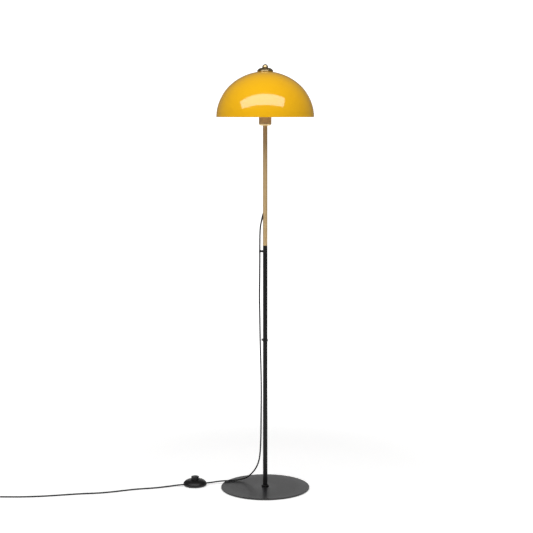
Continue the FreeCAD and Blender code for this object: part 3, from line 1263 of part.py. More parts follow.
relief_end = Vector(plug_x.number, plug_y.number, plug_half_height.number)
tail_route = [
    tuple(coil_end), (coil_end.x, coil_end.y + 10, coil_end.z),
    (relief_end.x, relief_end.y - 10, relief_end.z), tuple(relief_end)]
keep(feature("cord_to_plug", swept(
    route_edges(tail_route, "cord_to_plug"), cord_radius.number, "cord_to_plug")))


# ---------------------------------------------------------------------------------------------
# Plug: flat moulded body tapering to the lead, two round pins, tapered strain relief
# ---------------------------------------------------------------------------------------------
def lay_down(piece, x, y, z):
    """Turns a piece made along Z so that it points along +Y."""
    piece.Placement.Rotation = FreeCAD.Rotation(Vector(1, 0, 0), -90)
    piece.setExpression("Placement.Base.x", as_size(x).text)
    piece.setExpression("Placement.Base.y", as_size(y).text)
    piece.setExpression("Placement.Base.z", as_size(z).text)
    return keep(piece)


def plug_outline(wide, flat, thick):
    return [(wide, 0), (flat, thick), (-flat, thick), (-wide, 0), (-flat, -thick), (flat, -thick)]


full_outline = plug_outline(plug_half_width, plug_flat, plug_half_height)
plug = new_body("plug_body")
rear_sketch = new_sketch(plug, "XY_Plane", "plug_rear_outline")
draw(rear_sketch, plug_outline(plug_rear_half_width, plug_rear_flat, plug_rear_half_height))
middle_sketch = new_sketch(plug, "XY_Plane", "plug_middle_outline", offset=plug_taper)
draw(middle_sketch, full_outline)
front_sketch = new_sketch(plug, "XY_Plane", "plug_front_outline", offset=plug_length)
draw(front_sketch, full_outline)
taper = plug.newObject("PartDesign::AdditiveLoft", "plug_taper")
taper.Profile = rear_sketch
taper.Sections = [middle_sketch]
taper.Ruled = True
plug.Tip = taper
doc.recompute()
block = plug.newObject("PartDesign::Pad", "plug_front")
block.Profile = front_sketch
block.setExpression("Length", (plug_length - plug_taper).text)
block.Reversed = True
plug.Tip = block
relief_front = plug_y + relief_length
lay_down(plug, plug_x, relief_front, plug_half_height)

plug_pin = turned("plug_pin", [
    (0, 0), (pin_radius, 0), (pin_radius, pin_length - pin_round), (pin_radius - pin_round, pin_length),
    (0, pin_length)], {2: pin_round}, x=pin_spacing)
pins = both_sides("plug_pins", plug_pin, Vector(1, 0, 0))
lay_down(pins, plug_x, relief_front + plug_length, plug_half_height)

relief = turned("plug_strain_relief", [
    (0, 0), (relief_tip, 0), (relief_radius, relief_length), (0, relief_length)])
lay_down(relief, plug_x, plug_y, plug_half_height)


# ---------------------------------------------------------------------------------------------
# Check every object and write one file per sub-part
# ---------------------------------------------------------------------------------------------
doc.recompute()
for item in doc.Objects:
    if "Invalid" in item.State or "Error" in item.State:
        raise RuntimeError("%s did not build: %s" % (item.Label, item.State))
os.makedirs("parts", exist_ok=True)
for piece in subparts:
    shape = piece.Shape
    if shape.isNull() or not shape.isValid() or not shape.Solids:
        raise RuntimeError("%s has no sound solid" % piece.Label)
    shape.exportStep("parts/%s.step" % piece.Label)
print("nodes", len(subparts), "solids", sum(len(piece.Shape.Solids) for piece in subparts))
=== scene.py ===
import math

import bmesh
import bpy
from mathutils import Matrix, Vector


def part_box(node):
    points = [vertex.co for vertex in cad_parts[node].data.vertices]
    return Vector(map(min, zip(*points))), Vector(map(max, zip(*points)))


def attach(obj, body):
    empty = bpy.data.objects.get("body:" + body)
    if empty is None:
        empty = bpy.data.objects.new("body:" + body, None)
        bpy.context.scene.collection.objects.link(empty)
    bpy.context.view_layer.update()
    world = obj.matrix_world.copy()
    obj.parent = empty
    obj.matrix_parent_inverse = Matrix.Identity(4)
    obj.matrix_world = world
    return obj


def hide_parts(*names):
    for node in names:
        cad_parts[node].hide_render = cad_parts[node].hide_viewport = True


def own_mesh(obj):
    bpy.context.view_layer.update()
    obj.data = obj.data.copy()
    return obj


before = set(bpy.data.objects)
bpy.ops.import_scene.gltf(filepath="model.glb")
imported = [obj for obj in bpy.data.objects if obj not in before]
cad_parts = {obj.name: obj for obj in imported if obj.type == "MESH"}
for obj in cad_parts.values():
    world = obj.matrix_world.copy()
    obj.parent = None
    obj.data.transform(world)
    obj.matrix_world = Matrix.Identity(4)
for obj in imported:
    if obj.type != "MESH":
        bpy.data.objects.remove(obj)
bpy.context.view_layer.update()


# ---- Camera, floor and light --------------------------------------------------------------------
# The lamp stands on a pale floor that runs back to a white wall far behind it. A wide soft box hangs
# high in front of it, a little to the left; the room round it is dim, so black paint stays black.
mm = 0.001
picture = 533
focal = 1318.9
middle_column = 266.5
camera_place = (4.0, -4029.0, 1167.3)
camera_tilt = 6.633


def linear(colour):
    """An sRGB hex colour as linear red, green, blue and alpha."""
    parts = [int(colour[place:place + 2], 16) / 255 for place in (1, 3, 5)]
    return (*[part / 12.92 if part <= 0.04045 else ((part + 0.055) / 1.055) ** 2.4 for part in parts], 1)


def add_node(tree, kind, inputs=None, **settings):
    """Adds a node: settings are its properties, inputs are values or the sockets that feed it."""
    made = tree.nodes.new("ShaderNode" + kind)
    for name, value in settings.items():
        setattr(made, name, value)
    for socket, value in (inputs or {}).items():
        if isinstance(value, bpy.types.NodeSocket):
            tree.links.new(value, made.inputs[socket])
        else:
            made.inputs[socket].default_value = value
    return made


camera = bpy.data.objects.new("photo_camera", bpy.data.cameras.new("photo_camera"))
camera.data.sensor_width = 36
camera.data.lens = focal / picture * camera.data.sensor_width
camera.data.shift_x = (picture / 2 - middle_column) / picture
camera.data.clip_end = 60
camera.location = Vector(camera_place) * mm
camera.rotation_euler = (math.radians(90 - camera_tilt), 0, 0)
bpy.context.scene.collection.objects.link(camera)
bpy.context.scene.camera = camera
bpy.context.scene.view_settings.view_transform = "Standard"

wall_distance = 7.0
wall_height = 2.9
wall_half_width = 3.0
floor_reach = 16.0
floor_gap = 0.0002
sweep = bmesh.new()
corners = [sweep.verts.new((x, -floor_reach, -floor_gap)) for x in (-floor_reach, floor_reach)]
front = sweep.edges.new(corners)
floor = bmesh.ops.extrude_edge_only(sweep, edges=[front])["geom"]
bmesh.ops.translate(
    sweep, verts=[part for part in floor if isinstance(part, bmesh.types.BMVert)],
    vec=(0, 2 * floor_reach, 0))
bmesh.ops.recalc_face_normals(sweep, faces=sweep.faces)
floor_mesh = bpy.data.meshes.new("floor")
sweep.to_mesh(floor_mesh)
sweep.free()
floor_object = bpy.data.objects.new("floor", floor_mesh)
bpy.context.scene.collection.objects.link(floor_object)

wall = bmesh.new()
bmesh.ops.create_grid(
    wall, x_segments=1, y_segments=1, size=1,
    matrix=Matrix.Translation((0, wall_distance, wall_height / 2)) @ Matrix.Rotation(math.pi / 2, 4, "X")
    @ Matrix.Diagonal((wall_half_width, wall_height / 2, 1, 1)))
wall_mesh = bpy.data.meshes.new("wall")
wall.to_mesh(wall_mesh)
wall.free()
wall_object = bpy.data.objects.new("wall", wall_mesh)
bpy.context.scene.collection.objects.link(wall_object)


near_lamp = 0.5
far_from_lamp = 1.8
strip_half_width = 2.3
strip_front = -0.7
strip_height = 2.2
strip_fade = 0.7
foot_glow = 0.46
white_glow = 1.05


def paper(name, near_glow, far_glow):
    """White background paper: the strip behind the lamp glows for every ray that shows it, less near the
    lamp, whose shadow it takes. Beside and in front of the picture it is plain lit paper."""
    material = bpy.data.materials.new(name)
    material.use_nodes = True
    tree = material.node_tree
    tree.nodes.clear()
    path = add_node(tree, "LightPath")
    seen = add_node(
        tree, "Math", {0: path.outputs["Is Camera Ray"], 1: path.outputs["Is Glossy Ray"]},
        operation="MAXIMUM")
    through = add_node(
        tree, "Math", {0: seen.outputs[0], 1: path.outputs["Is Transmission Ray"]}, operation="MAXIMUM")
    place = add_node(tree, "TexCoord")
    distance = add_node(tree, "VectorMath", {0: place.outputs["Object"]}, operation="LENGTH")
    glow = add_node(tree, "MapRange", {
        "Value": distance.outputs["Value"], "From Min": near_lamp, "From Max": far_from_lamp,
        "To Min": near_glow, "To Max": far_glow}, interpolation_type="SMOOTHSTEP")
    parts = add_node(tree, "SeparateXYZ", {0: place.outputs["Object"]})
    sideways = add_node(tree, "Math", {0: parts.outputs["X"]}, operation="ABSOLUTE")
    inside = add_node(tree, "MapRange", {
        "Value": sideways.outputs[0], "From Min": strip_half_width, "From Max": strip_half_width + strip_fade,
        "To Min": 1.0, "To Max": 0.0}, interpolation_type="SMOOTHSTEP")
    behind = add_node(tree, "MapRange", {
        "Value": parts.outputs["Y"], "From Min": strip_front - strip_fade, "From Max": strip_front,
        "To Min": 0.0, "To Max": 1.0}, interpolation_type="SMOOTHSTEP")
    below = add_node(tree, "MapRange", {
        "Value": parts.outputs["Z"], "From Min": strip_height, "From Max": strip_height + strip_fade,
        "To Min": 1.0, "To Max": 0.0}, interpolation_type="SMOOTHSTEP")
    wide = add_node(tree, "Math", {0: inside.outputs[0], 1: behind.outputs[0]}, operation="MULTIPLY")
    strip = add_node(tree, "Math", {0: wide.outputs[0], 1: below.outputs[0]}, operation="MULTIPLY")
    shown = add_node(tree, "Math", {0: through.outputs[0], 1: strip.outputs[0]}, operation="MULTIPLY")
    strength = add_node(tree, "Math", {0: shown.outputs[0], 1: glow.outputs[0]}, operation="MULTIPLY")
    white = linear("#f4f4f4")
    surface = add_node(tree, "BsdfDiffuse", {"Color": white})
    light = add_node(tree, "Emission", {"Color": (1, 1, 1, 1), "Strength": strength.outputs[0]})
    both = add_node(tree, "AddShader", {0: surface.outputs[0], 1: light.outputs[0]})
    add_node(tree, "OutputMaterial", {"Surface": both.outputs[0]})
    return material


floor_mesh.materials.append(paper("floor_paper", foot_glow, white_glow))
wall_mesh.materials.append(paper("wall_paper", white_glow, white_glow))

room_strength = 0.14
world = bpy.data.worlds.new("room")
bpy.context.scene.world = world
world.use_nodes = True
room = world.node_tree
room.nodes.clear()
dim_room = add_node(room, "Background", {"Color": (1, 1, 1, 1), "Strength": room_strength})
add_node(room, "OutputWorld", {"Surface": dim_room.outputs[0]})

box_distance = 3.1
box_angle = math.radians(47)
box_width = 6.7
box_height = 1.72
box_shift = -0.72
box_strength = 3.95
shade_height_middle = 1.155
soft_box = bpy.data.objects.new("soft_box", bpy.data.lights.new("soft_box", "AREA"))
soft_box.data.shape = "RECTANGLE"
soft_box.data.size = box_width
soft_box.data.size_y = box_height
soft_box.data.energy = box_strength * math.pi * box_width * box_height
soft_box.location = (
    box_shift, -box_distance * math.cos(box_angle),
    shade_height_middle + box_distance * math.sin(box_angle))
soft_box.rotation_euler = (math.pi / 2 - box_angle, 0, 0)
bpy.context.scene.collection.objects.link(soft_box)


# ---- Foot ----------------------------------------------------------------------------------------
# A laser cut steel disc with a black powder coat stands on a ring of foam. A countersunk screw goes up
# through it into the pole, and a turned collar slips over the pole and covers the joint.
def span(node):
    """The lowest and highest corner of a node of the frame, in millimetres."""
    return [[value / mm for value in corner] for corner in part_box(node)]


def arc(middle, radius, first, last, steps=8):
    """Points of a round stretch of an outline, between two angles from the level."""
    angles = [math.radians(first + (last - first) * step / steps) for step in range(steps + 1)]
    return [(middle[0] + radius * math.cos(angle), middle[1] + radius * math.sin(angle)) for angle in angles]


def spun(outline, steps=128):
    """A solid turned about the vertical from its outline of radii and heights, in millimetres."""
    solid = bmesh.new()
    corners = [solid.verts.new((radius, 0, height)) for radius, height in outline]
    sides = [
        solid.edges.new((start, end)) for start, end in zip(corners, corners[1:] + corners[:1])
        if start.co.x > 0 or end.co.x > 0]
    bmesh.ops.spin(
        solid, geom=corners + sides, axis=(0, 0, 1), cent=(0, 0, 0), steps=steps, angle=2 * math.pi,
        use_merge=True)
    bmesh.ops.remove_doubles(solid, verts=solid.verts, dist=0.0005)
    bmesh.ops.recalc_face_normals(solid, faces=solid.faces)
    return solid


def piece_of(name, solid, material, nodes=(), body="lamp", round_edges=0):
    """Makes a finished object of a solid in millimetres, on its body, in place of its nodes."""
    bmesh.ops.scale(solid, verts=solid.verts, vec=(mm, mm, mm))
    data = bpy.data.meshes.new(name)
    solid.to_mesh(data)
    solid.free()
    data.shade_smooth()
    data.materials.append(material)
    made = bpy.data.objects.new(name, data)
    bpy.context.scene.collection.objects.link(made)
    if round_edges:
        bevel = made.modifiers.new("rounded_edges", "BEVEL")
        bevel.width = round_edges * mm
        bevel.segments = 3
        bevel.limit_method = "ANGLE"
        bevel.angle_limit = math.radians(38)
    made.modifiers.new("even_shading", "WEIGHTED_NORMAL").keep_sharp = True
    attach(made, body)
    if nodes:
        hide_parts(*nodes)
    return made


def finish_of(name, shades, roughness, grain, depth, metallic=0.0, ior=1.5, stretch=(1, 1, 1)):
    """A finish whose grain, grain millimetres across, mixes two shades, spreads the roughness between
    two values and lifts the surface by depth millimetres."""
    material = bpy.data.materials.new(name)
    material.use_nodes = True
    tree = material.node_tree
    tree.nodes.clear()
    place = add_node(tree, "TexCoord")
    scale = [1 / (grain * mm * longer) for longer in stretch]
    cells = add_node(tree, "Mapping", {"Vector": place.outputs["Object"], "Scale": scale})
    noise = add_node(tree, "TexNoise", {"Vector": cells.outputs[0], "Scale": 1.0, "Detail": 3.0})
    level = add_node(tree, "MapRange", {
        "Value": noise.outputs[0], "From Min": 0.3, "From Max": 0.7, "To Min": roughness[0],
        "To Max": roughness[1]})
    colour = add_node(
        tree, "Mix", {0: noise.outputs[0], 6: linear(shades[0]), 7: linear(shades[1])}, data_type="RGBA")
    bump = add_node(tree, "Bump", {"Height": noise.outputs[0], "Strength": 1.0, "Distance": depth * mm})
    shader = add_node(tree, "BsdfPrincipled", {
        "Base Color": colour.outputs[2], "Metallic": metallic, "Roughness": level.outputs[0], "IOR": ior,
        "Normal": bump.outputs[0]})
    add_node(tree, "OutputMaterial", {"Surface": shader.outputs[0]})
    return material


def dress(material, *names):
    """Gives the frame's own nodes a finish."""
    for name in names:
        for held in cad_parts[name].material_slots:
            held.material = material


# Closed cell foam: matt and dark, with cells about a millimetre wide
foam = finish_of("eva_foam", ("#161617", "#2a2a2b"), (0.85, 0.95), 1.1, 0.12)
pad_low, pad_high = span("base_pad")
pad_hole = 14
piece_of("foot_pad", spun([
    (pad_hole, pad_low[2]), (pad_high[0], pad_low[2]), (pad_high[0], pad_high[2]), (pad_hole, pad_high[2])]),
    foam, ["base_pad"], round_edges=0.3)

# Powder coat on the plate: satin black with a fine orange peel that greys it towards the light
plate_coat = finish_of("powder_coat_plate", ("#1a1a1b", "#232324"), (0.38, 0.46), 0.9, 0.012)
plate_low, plate_high = span("base_plate")
plate_radius = plate_high[0]
plate_edge = 0.6
screw_hole = 4.2
sink_radius = 7.8
sink_depth = 3.6
plate = spun([
    (sink_radius, plate_low[2]), (plate_radius - plate_edge / 2, plate_low[2]),
    (plate_radius, plate_low[2] + plate_edge / 2),
    *arc((plate_radius - plate_edge, plate_high[2] - plate_edge), plate_edge, 0, 90, 5),
    (plate_radius * 0.66, plate_high[2]), (plate_radius * 0.33, plate_high[2]),
    (screw_hole, plate_high[2]), (screw_hole, plate_low[2] + sink_depth)], 192)
piece_of("foot_plate", plate, plate_coat, ["base_plate"])

# Zinc plated steel: bright grey with a faint cloudiness from the bath
zinc = finish_of("zinc_plated_steel", ("#9ea1a4", "#c3c6c8"), (0.28, 0.42), 2.5, 0.004, metallic=1.0)
dress(zinc, "base_screw", "foot_plug", "lower_joint_stud", "lower_joint_bush", "upper_joint_stud",
      "upper_joint_bush", "tube_top_bush")

# Powder coat on the pole and collar: blacker and a little glossier than on the plate
pole_coat = finish_of("powder_coat_pole", ("#060606", "#0c0c0c"), (0.45, 0.53), 0.8, 0.01, ior=1.4)
collar_low, collar_high = span("foot_collar")
collar_round = 1.8
collar_bore = 7.1
collar = spun([
    (collar_bore, collar_low[2]), (collar_high[0], collar_low[2]),
    *arc((collar_high[0] - collar_round, collar_high[2] - collar_round), collar_round, 0, 90),
    (collar_bore, collar_high[2])])
piece_of("pole_collar", collar, pole_coat, ["foot_collar"])


# ---- Pole ----------------------------------------------------------------------------------------
# Three lengths of welded steel tube screwed end to end: two powder coated black, the upper one in a
# satin champagne gold. Each end is chamfered, so a fine line shows at the joints.
pole_radius = 7
pole_bore = 6
pole_edge = 0.35


def tube(node):
    low, high = span(node)
    return spun([
        (pole_bore, low[2]), (pole_radius - pole_edge, low[2]), (pole_radius, low[2] + pole_edge),
        (pole_radius, high[2] - pole_edge), (pole_radius - pole_edge, high[2]), (pole_bore, high[2])], 96)


piece_of("pole_lower", tube("lower_tube"), pole_coat, ["lower_tube"])
piece_of("pole_middle", tube("middle_tube"), pole_coat, ["middle_tube"])


def shaped(base, tool, operation):
    """The base solid cut by, or joined with, a tool solid, both in millimetres."""
    objects = []
    for solid in (base, tool):
        data = bpy.data.meshes.new("shaping")
        solid.to_mesh(data)
        solid.free()
        objects.append(bpy.data.objects.new("shaping", data))
        bpy.context.scene.collection.objects.link(objects[-1])
    step = objects[0].modifiers.new("shaping", "BOOLEAN")
    step.object = objects[1]
    step.operation = operation
    step.solver = "EXACT"
    bpy.context.view_layer.update()
    result = bmesh.new()
    result.from_object(objects[0], bpy.context.evaluated_depsgraph_get())
    for used in objects:
        bpy.data.objects.remove(used)
    bmesh.ops.remove_doubles(result, verts=result.verts, dist=0.001)
    bmesh.ops.recalc_face_normals(result, faces=result.faces)
    return result


# Champagne gold lacquer, full of fine metal flake: satin, with a soft pale line down its lit side. The
# brush lines under it are a twentieth of a millimetre apart. The upright streaks drawn in its colour are
# coarser: partly brush lines, partly painted reflection streaks running down the tube.
gold = finish_of(
    "champagne_gold_lacquer", ("#f0cb92", "#fddaa3"), (0.3, 0.38), 0.5, 0.003, metallic=0.6,
    stretch=(1, 1, 60))
exit_place = (-10.3, 0, 842.6)
exit_lean = 16
bush_radius = 3.4
bush_length = 28
bush_bore = 2.6


def at_exit(solid):
    """Leans a solid made along Z and moves it to where the lead leaves the pole."""
    bmesh.ops.rotate(
        solid, verts=solid.verts, cent=(0, 0, 0), matrix=Matrix.Rotation(math.radians(exit_lean), 3, "Y"))
    bmesh.ops.translate(solid, verts=solid.verts, vec=exit_place)
    return solid


slot_cutter = at_exit(spun([
    (0, -1), (bush_radius + 0.05, -1), (bush_radius + 0.05, bush_length + 1), (0, bush_length + 1)], 48))
piece_of("pole_upper", shaped(tube("upper_tube"), slot_cutter, "DIFFERENCE"), gold,
         ["upper_tube"])

# The lead comes out through a soft rubber bush pressed into the slot; its lip is ribbed and tapers
rubber = finish_of("black_rubber", ("#121212", "#1f1f1f"), (0.6, 0.75), 0.6, 0.02)
bush_rib_step = 2.2
bush_taper = 0.1
bush_lip = 9.6
bush_outline = [(bush_bore, 0), (bush_radius - 0.6, 0)]
for rib in range(4):
    foot = 0.4 + rib * bush_rib_step
    crest = bush_radius - 0.45 + rib * bush_taper
    root = bush_radius - 0.8 + rib * bush_taper
    bush_outline += [(crest, foot), (crest, foot + bush_rib_step * 0.6), (root, foot + bush_rib_step * 0.75)]
bush_outline += [(bush_radius, bush_lip), (bush_radius, bush_length), (bush_bore, bush_length)]
piece_of("lead_bush", at_exit(spun(bush_outline, 48)), rubber, ["exit_bush"])


# ---- Lead clips ----------------------------------------------------------------------------------
# Two small clips in black nylon: an open band that springs round the pole, a short arm and a hook
# that the lead is pressed into. The lower one is turned round to the back of the pole.
nylon = finish_of("moulded_nylon", ("#0a0a0a", "#131313"), (0.4, 0.5), 0.7, 0.01)
clip_wall = 1.3
clip_bore = 7.1
clip_hook_bore = 2.6
clip_hook_reach = 16.5
clip_opening = 110
hook_opening = 90
clip_arm = 2.4
lower_clip_turn = -62


def open_band(bore, height, opening, heading, x=0):
    """A band with a gap of opening degrees that faces heading, standing from the level up to height."""
    solid = bmesh.new()
    start = math.radians(heading + opening / 2)
    corners = [
        solid.verts.new((radius * math.cos(start), radius * math.sin(start), z))
        for radius, z in ((bore, 0), (bore + clip_wall, 0), (bore + clip_wall, height), (bore, height))]
    section = solid.faces.new(corners)
    bmesh.ops.spin(
        solid, geom=[section, *section.edges, *section.verts], axis=(0, 0, 1), cent=(0, 0, 0), steps=40,
        angle=math.radians(360 - opening))
    bmesh.ops.recalc_face_normals(solid, faces=solid.faces)
    bmesh.ops.translate(solid, verts=solid.verts, vec=(x, 0, 0))
    return solid


def clip(name, node, turn):
    low, high = span(node)
    height = high[2] - low[2]
    arm_start = -(clip_hook_reach - clip_hook_bore - clip_wall / 2)
    arm_length = -arm_start - clip_bore - clip_wall / 2
    arm = bmesh.new()
    bmesh.ops.create_cube(arm, size=1, matrix=Matrix.Translation(
        (arm_start + arm_length / 2, 0, height / 2)) @ Matrix.Diagonal((arm_length, clip_arm, height, 1)))
    band = shaped(open_band(clip_bore, height, clip_opening, 0), arm, "UNION")
    hook = open_band(clip_hook_bore, height, hook_opening, 180, -clip_hook_reach)
    solid = shaped(band, hook, "UNION")
    bmesh.ops.rotate(
        solid, verts=solid.verts, cent=(0, 0, 0), matrix=Matrix.Rotation(math.radians(turn), 3, "Z"))
    bmesh.ops.translate(solid, verts=solid.verts, vec=(0, 0, low[2]))
    piece_of(name, solid, nylon, [node], round_edges=0.25)


clip("clip_upper", "upper_cord_clip", 0)
clip("clip_lower", "lower_cord_clip", lower_clip_turn)


# ---- Lampholder ----------------------------------------------------------------------------------
# A spun brass cup in the pole's gold finish hides an E27 holder of black thermoset. A hollow nipple
# holds cup and holder to the pole, and a ribbed ring on the skirt's thread clamps the shade's bracket.
cup_low, cup_high = span("lampholder_cup")
cup_radius = cup_high[0]
cup_wall = 0.8
cup_corner = 6
cup_hole = 5.1
# The same lacquer over spun brass, whose polishing left faint upright streaks
cup_gold = finish_of(
    "champagne_gold_spun", ("#e6c88e", "#fde2aa"), (0.3, 0.4), 0.7, 0.004, metallic=0.55,
    stretch=(1, 1, 25))
cup = spun([
    (cup_hole, cup_low[2]),
    *arc((cup_radius - cup_corner, cup_low[2] + cup_corner), cup_corner, -90, 0, 12),
    (cup_radius, cup_high[2] - 1.6), (cup_radius - 0.15, cup_high[2] - 1.2),
    (cup_radius - 0.15, cup_high[2] - 0.3), (cup_radius - 0.3, cup_high[2]),
    (cup_radius - cup_wall, cup_high[2]),
    *arc((cup_radius - cup_corner, cup_low[2] + cup_corner), cup_corner - cup_wall, 0, -90, 12),
    (cup_hole, cup_low[2] + cup_wall)], 160)
piece_of("holder_cup", cup, cup_gold, ["lampholder_cup"])

# Thermoset: hard and fairly glossy, with fine filler specks
thermoset = finish_of("black_thermoset", ("#0d0d0e", "#1b1b1c"), (0.25, 0.4), 0.4, 0.006)
dress(thermoset, "holder_base", "contact_block")
dress(zinc, "threaded_nipple", "nipple_nut")

# Bare stamped brass: bright yellow with rolling marks
brass = finish_of("stamped_brass", ("#b08d4a", "#d4b16a"), (0.25, 0.4), 1.5, 0.003, metallic=1.0,
                  stretch=(1, 4, 1))
dress(brass, "holder_terminal_screws", "screw_shell", "centre_contact")

skirt_low, skirt_high = span("holder_skirt")
skirt_radius = 16.4
skirt_bore = 14.6
thread_length = 8.4
thread_root = skirt_radius - 0.6
flange_thickness = 1.8
flange_radius = skirt_high[0]
flange_top = skirt_high[2] - thread_length
flange_bottom = flange_top - flange_thickness
thread_pitch = 2.0
skirt_outline = [
    (skirt_bore, skirt_low[2]), (skirt_radius, skirt_low[2]), (skirt_radius, flange_bottom),
    (flange_radius, flange_bottom), (flange_radius, flange_top), (thread_root, flange_top)]
for ridge in range(4):
    foot = flange_top + ridge * thread_pitch
    skirt_outline += [(thread_root, foot + 0.3), (skirt_radius, foot + 0.8),
                      (skirt_radius, foot + 1.2), (thread_root, foot + 1.7)]
skirt_outline += [(thread_root, skirt_high[2]), (skirt_bore, skirt_high[2])]
piece_of("holder_skirt_threaded", spun(skirt_outline, 96), thermoset, ["holder_skirt"])

ring_low, ring_high = span("holder_ring")
ring_radius = ring_high[0]
ring_bore = 16.5
ring_ribs = 32
ring_edge = 0.5
rib_depth = 0.5
ring_steps = 8 * ring_ribs
ring = spun([
    (ring_bore, ring_low[2]), (ring_radius - ring_edge, ring_low[2]), (ring_radius, ring_low[2] + ring_edge),
    (ring_radius, ring_high[2] - ring_edge), (ring_radius - ring_edge, ring_high[2]),
    (ring_bore, ring_high[2])], ring_steps)
for corner in ring.verts:
    reach = math.hypot(corner.co.x, corner.co.y)
    if reach > ring_radius - 2 * ring_edge:
        wave = math.cos(ring_ribs * math.atan2(corner.co.y, corner.co.x))
        inset = rib_depth * (1 - wave) / 2
        corner.co.x *= (reach - inset) / reach
        corner.co.y *= (reach - inset) / reach
piece_of("clamp_ring", ring, thermoset, ["holder_ring"])

# Core insulation: brown PVC, thin and slightly waxy
core_brown = finish_of("core_insulation", ("#4b2412", "#6a3419"), (0.4, 0.5), 0.8, 0.004)
dress(core_brown, "holder_core_leads")


# ---- Bulb ----------------------------------------------------------------------------------------
# An LED bulb of the A60 shape: an aluminium screw cap with a soldered tip and a black insulator, a
# white moulded housing, a light board across it and an opal diffuser snapped on top.
housing_low, housing_high = span("bulb_housing")
cap_radius = 13.1
housing_white = finish_of("moulded_white_pbt", ("#dddcd6", "#e9e8e3"), (0.35, 0.45), 0.8, 0.006)
collar_radius = cap_radius + 1.4
seam_radius = housing_high[0]
waist_radius = 21
waist_height = housing_low[2] + 21.6
bulb_wall = 1.4
housing_bottom = housing_low[2]
piece_of("bulb_body", spun([
    (cap_radius - 0.5, housing_bottom), (collar_radius - 0.6, housing_bottom),
    (collar_radius, housing_bottom + 4), (collar_radius + 1.9, housing_bottom + 9.6),
    (collar_radius + 4.0, housing_bottom + 15.6), (waist_radius, waist_height),
    (waist_radius + 3.3, waist_height + 5.2), (seam_radius - 1.8, housing_high[2] - 3.8),
    (seam_radius, housing_high[2]), (seam_radius - bulb_wall, housing_high[2]),
    (waist_radius - bulb_wall, waist_height + 1), (collar_radius - bulb_wall, housing_bottom + 5),
    (cap_radius - 0.5, housing_bottom + 4)], 96), housing_white, ["bulb_housing"])

opal = finish_of("opal_polycarbonate", ("#ececea", "#f4f4f2"), (0.3, 0.38), 3.0, 0.004)
dome_low, dome_high = span("bulb_dome")
dome_radius = dome_high[0]
dome_shoulder = dome_high[2] - dome_radius
piece_of("bulb_diffuser", spun([
    (seam_radius, dome_low[2]), *arc((0, dome_shoulder), dome_radius, 0, 90, 24),
    *arc((0, dome_shoulder), dome_radius - bulb_wall, 90, 0, 24), (seam_radius - bulb_wall, dome_low[2])],
    96), opal, ["bulb_dome"])
bulb_aluminium = finish_of("drawn_aluminium", ("#b9bbbd", "#d5d6d8"), (0.22, 0.34), 1.0, 0.003, metallic=1.0,
                           stretch=(1, 1, 5))
dress(bulb_aluminium, "bulb_screw_cap", "bulb_tip_contact", "bulb_light_board")
dress(thermoset, "bulb_insulator")


# ---- Shade ---------------------------------------------------------------------------------------
# A dome spun from steel sheet with a rolled edge, sprayed in a thick golden yellow lacquer. It hangs
# by its crown on the stud of a strip steel bracket, between a rubber washer and the finial's cap.
shade_low, shade_high = span("shade")
shade_radius = shade_high[0]
shade_rim = shade_low[2]
shade_wall = 1.2
shade_bead = 0.9
shade_hole = 3.4
side_bend = 130.6
side_reach = shade_radius - side_bend
shade_height = 138.3
crown_bend = (side_reach ** 2 + shade_height ** 2 - side_bend ** 2) / (2 * (shade_height - side_bend))
crown_middle = (0, shade_rim + shade_height - crown_bend)
side_middle = (side_reach, shade_rim)
meeting = math.degrees(math.atan2(crown_bend - shade_height, side_reach))


def dome_line(inset):
    """The dome's outline from rim to crown, inset millimetres inside its outer face."""
    end = math.degrees(math.acos(shade_hole / (crown_bend - inset)))
    return (arc(side_middle, side_bend - inset, 0, meeting, 32)
            + arc(crown_middle, crown_bend - inset, meeting, end, 32)[1:])


bead_middle = (shade_radius - shade_bead, shade_rim + shade_bead)
dome = spun([
    *arc(bead_middle, shade_bead, 180, 360, 8), *dome_line(0)[1:], *dome_line(shade_wall)[::-1][:-1],
    (shade_radius - shade_wall, shade_rim + 2 * shade_bead)], 224)

# Gloss lacquer: deep golden yellow under a clear glossy skin, with a faint unevenness in the spray and
# the soft waves that the spinning left in the sheet
lacquer = finish_of("golden_yellow_lacquer", ("#fbba03", "#fdbf06"), (0.1, 0.16), 70, 0.02, ior=1.4)
lacquer_shader = next(step for step in lacquer.node_tree.nodes if step.type == "BSDF_PRINCIPLED")
lacquer_shader.inputs["Coat Weight"].default_value = 1.0
lacquer_shader.inputs["Coat Roughness"].default_value = 0.03
lacquer_shader.inputs["Coat IOR"].default_value = 1.5
piece_of("dome_shade", dome, lacquer, ["shade"])
dress(zinc, "shade_bracket", "finial_stud")
dress(rubber, "shade_washer")

# Polished brass under a thin warm nickel: it mirrors the room, dark at the sides and bright on top
polished = finish_of("polished_brass", ("#c2a878", "#d6bf92"), (0.04, 0.07), 12, 0.002, metallic=1.0)
cap_low, cap_high = span("finial_cap")
cap_seat = 9.6
cap_side = 3
cap_bend = 15
cap_skin = 1
cap_hole = 3.4
finial_radius = cap_high[0]
cap_bottom = cap_low[2]
cap_top = cap_high[2]
rise = cap_top - cap_bottom - cap_side
run = finial_radius - cap_seat
half = math.hypot(rise, run) / 2
lean = math.atan2(rise, run)
depth = math.sqrt(cap_bend ** 2 - half ** 2)
bend_middle = (
    (finial_radius + cap_seat) / 2 - depth * math.sin(lean),
    (cap_bottom + cap_side + cap_top) / 2 - depth * math.cos(lean))
bend_start = math.degrees(math.atan2(cap_bottom + cap_side - bend_middle[1], finial_radius - bend_middle[0]))
bend_end = math.degrees(math.atan2(cap_top - bend_middle[1], cap_seat - bend_middle[0]))
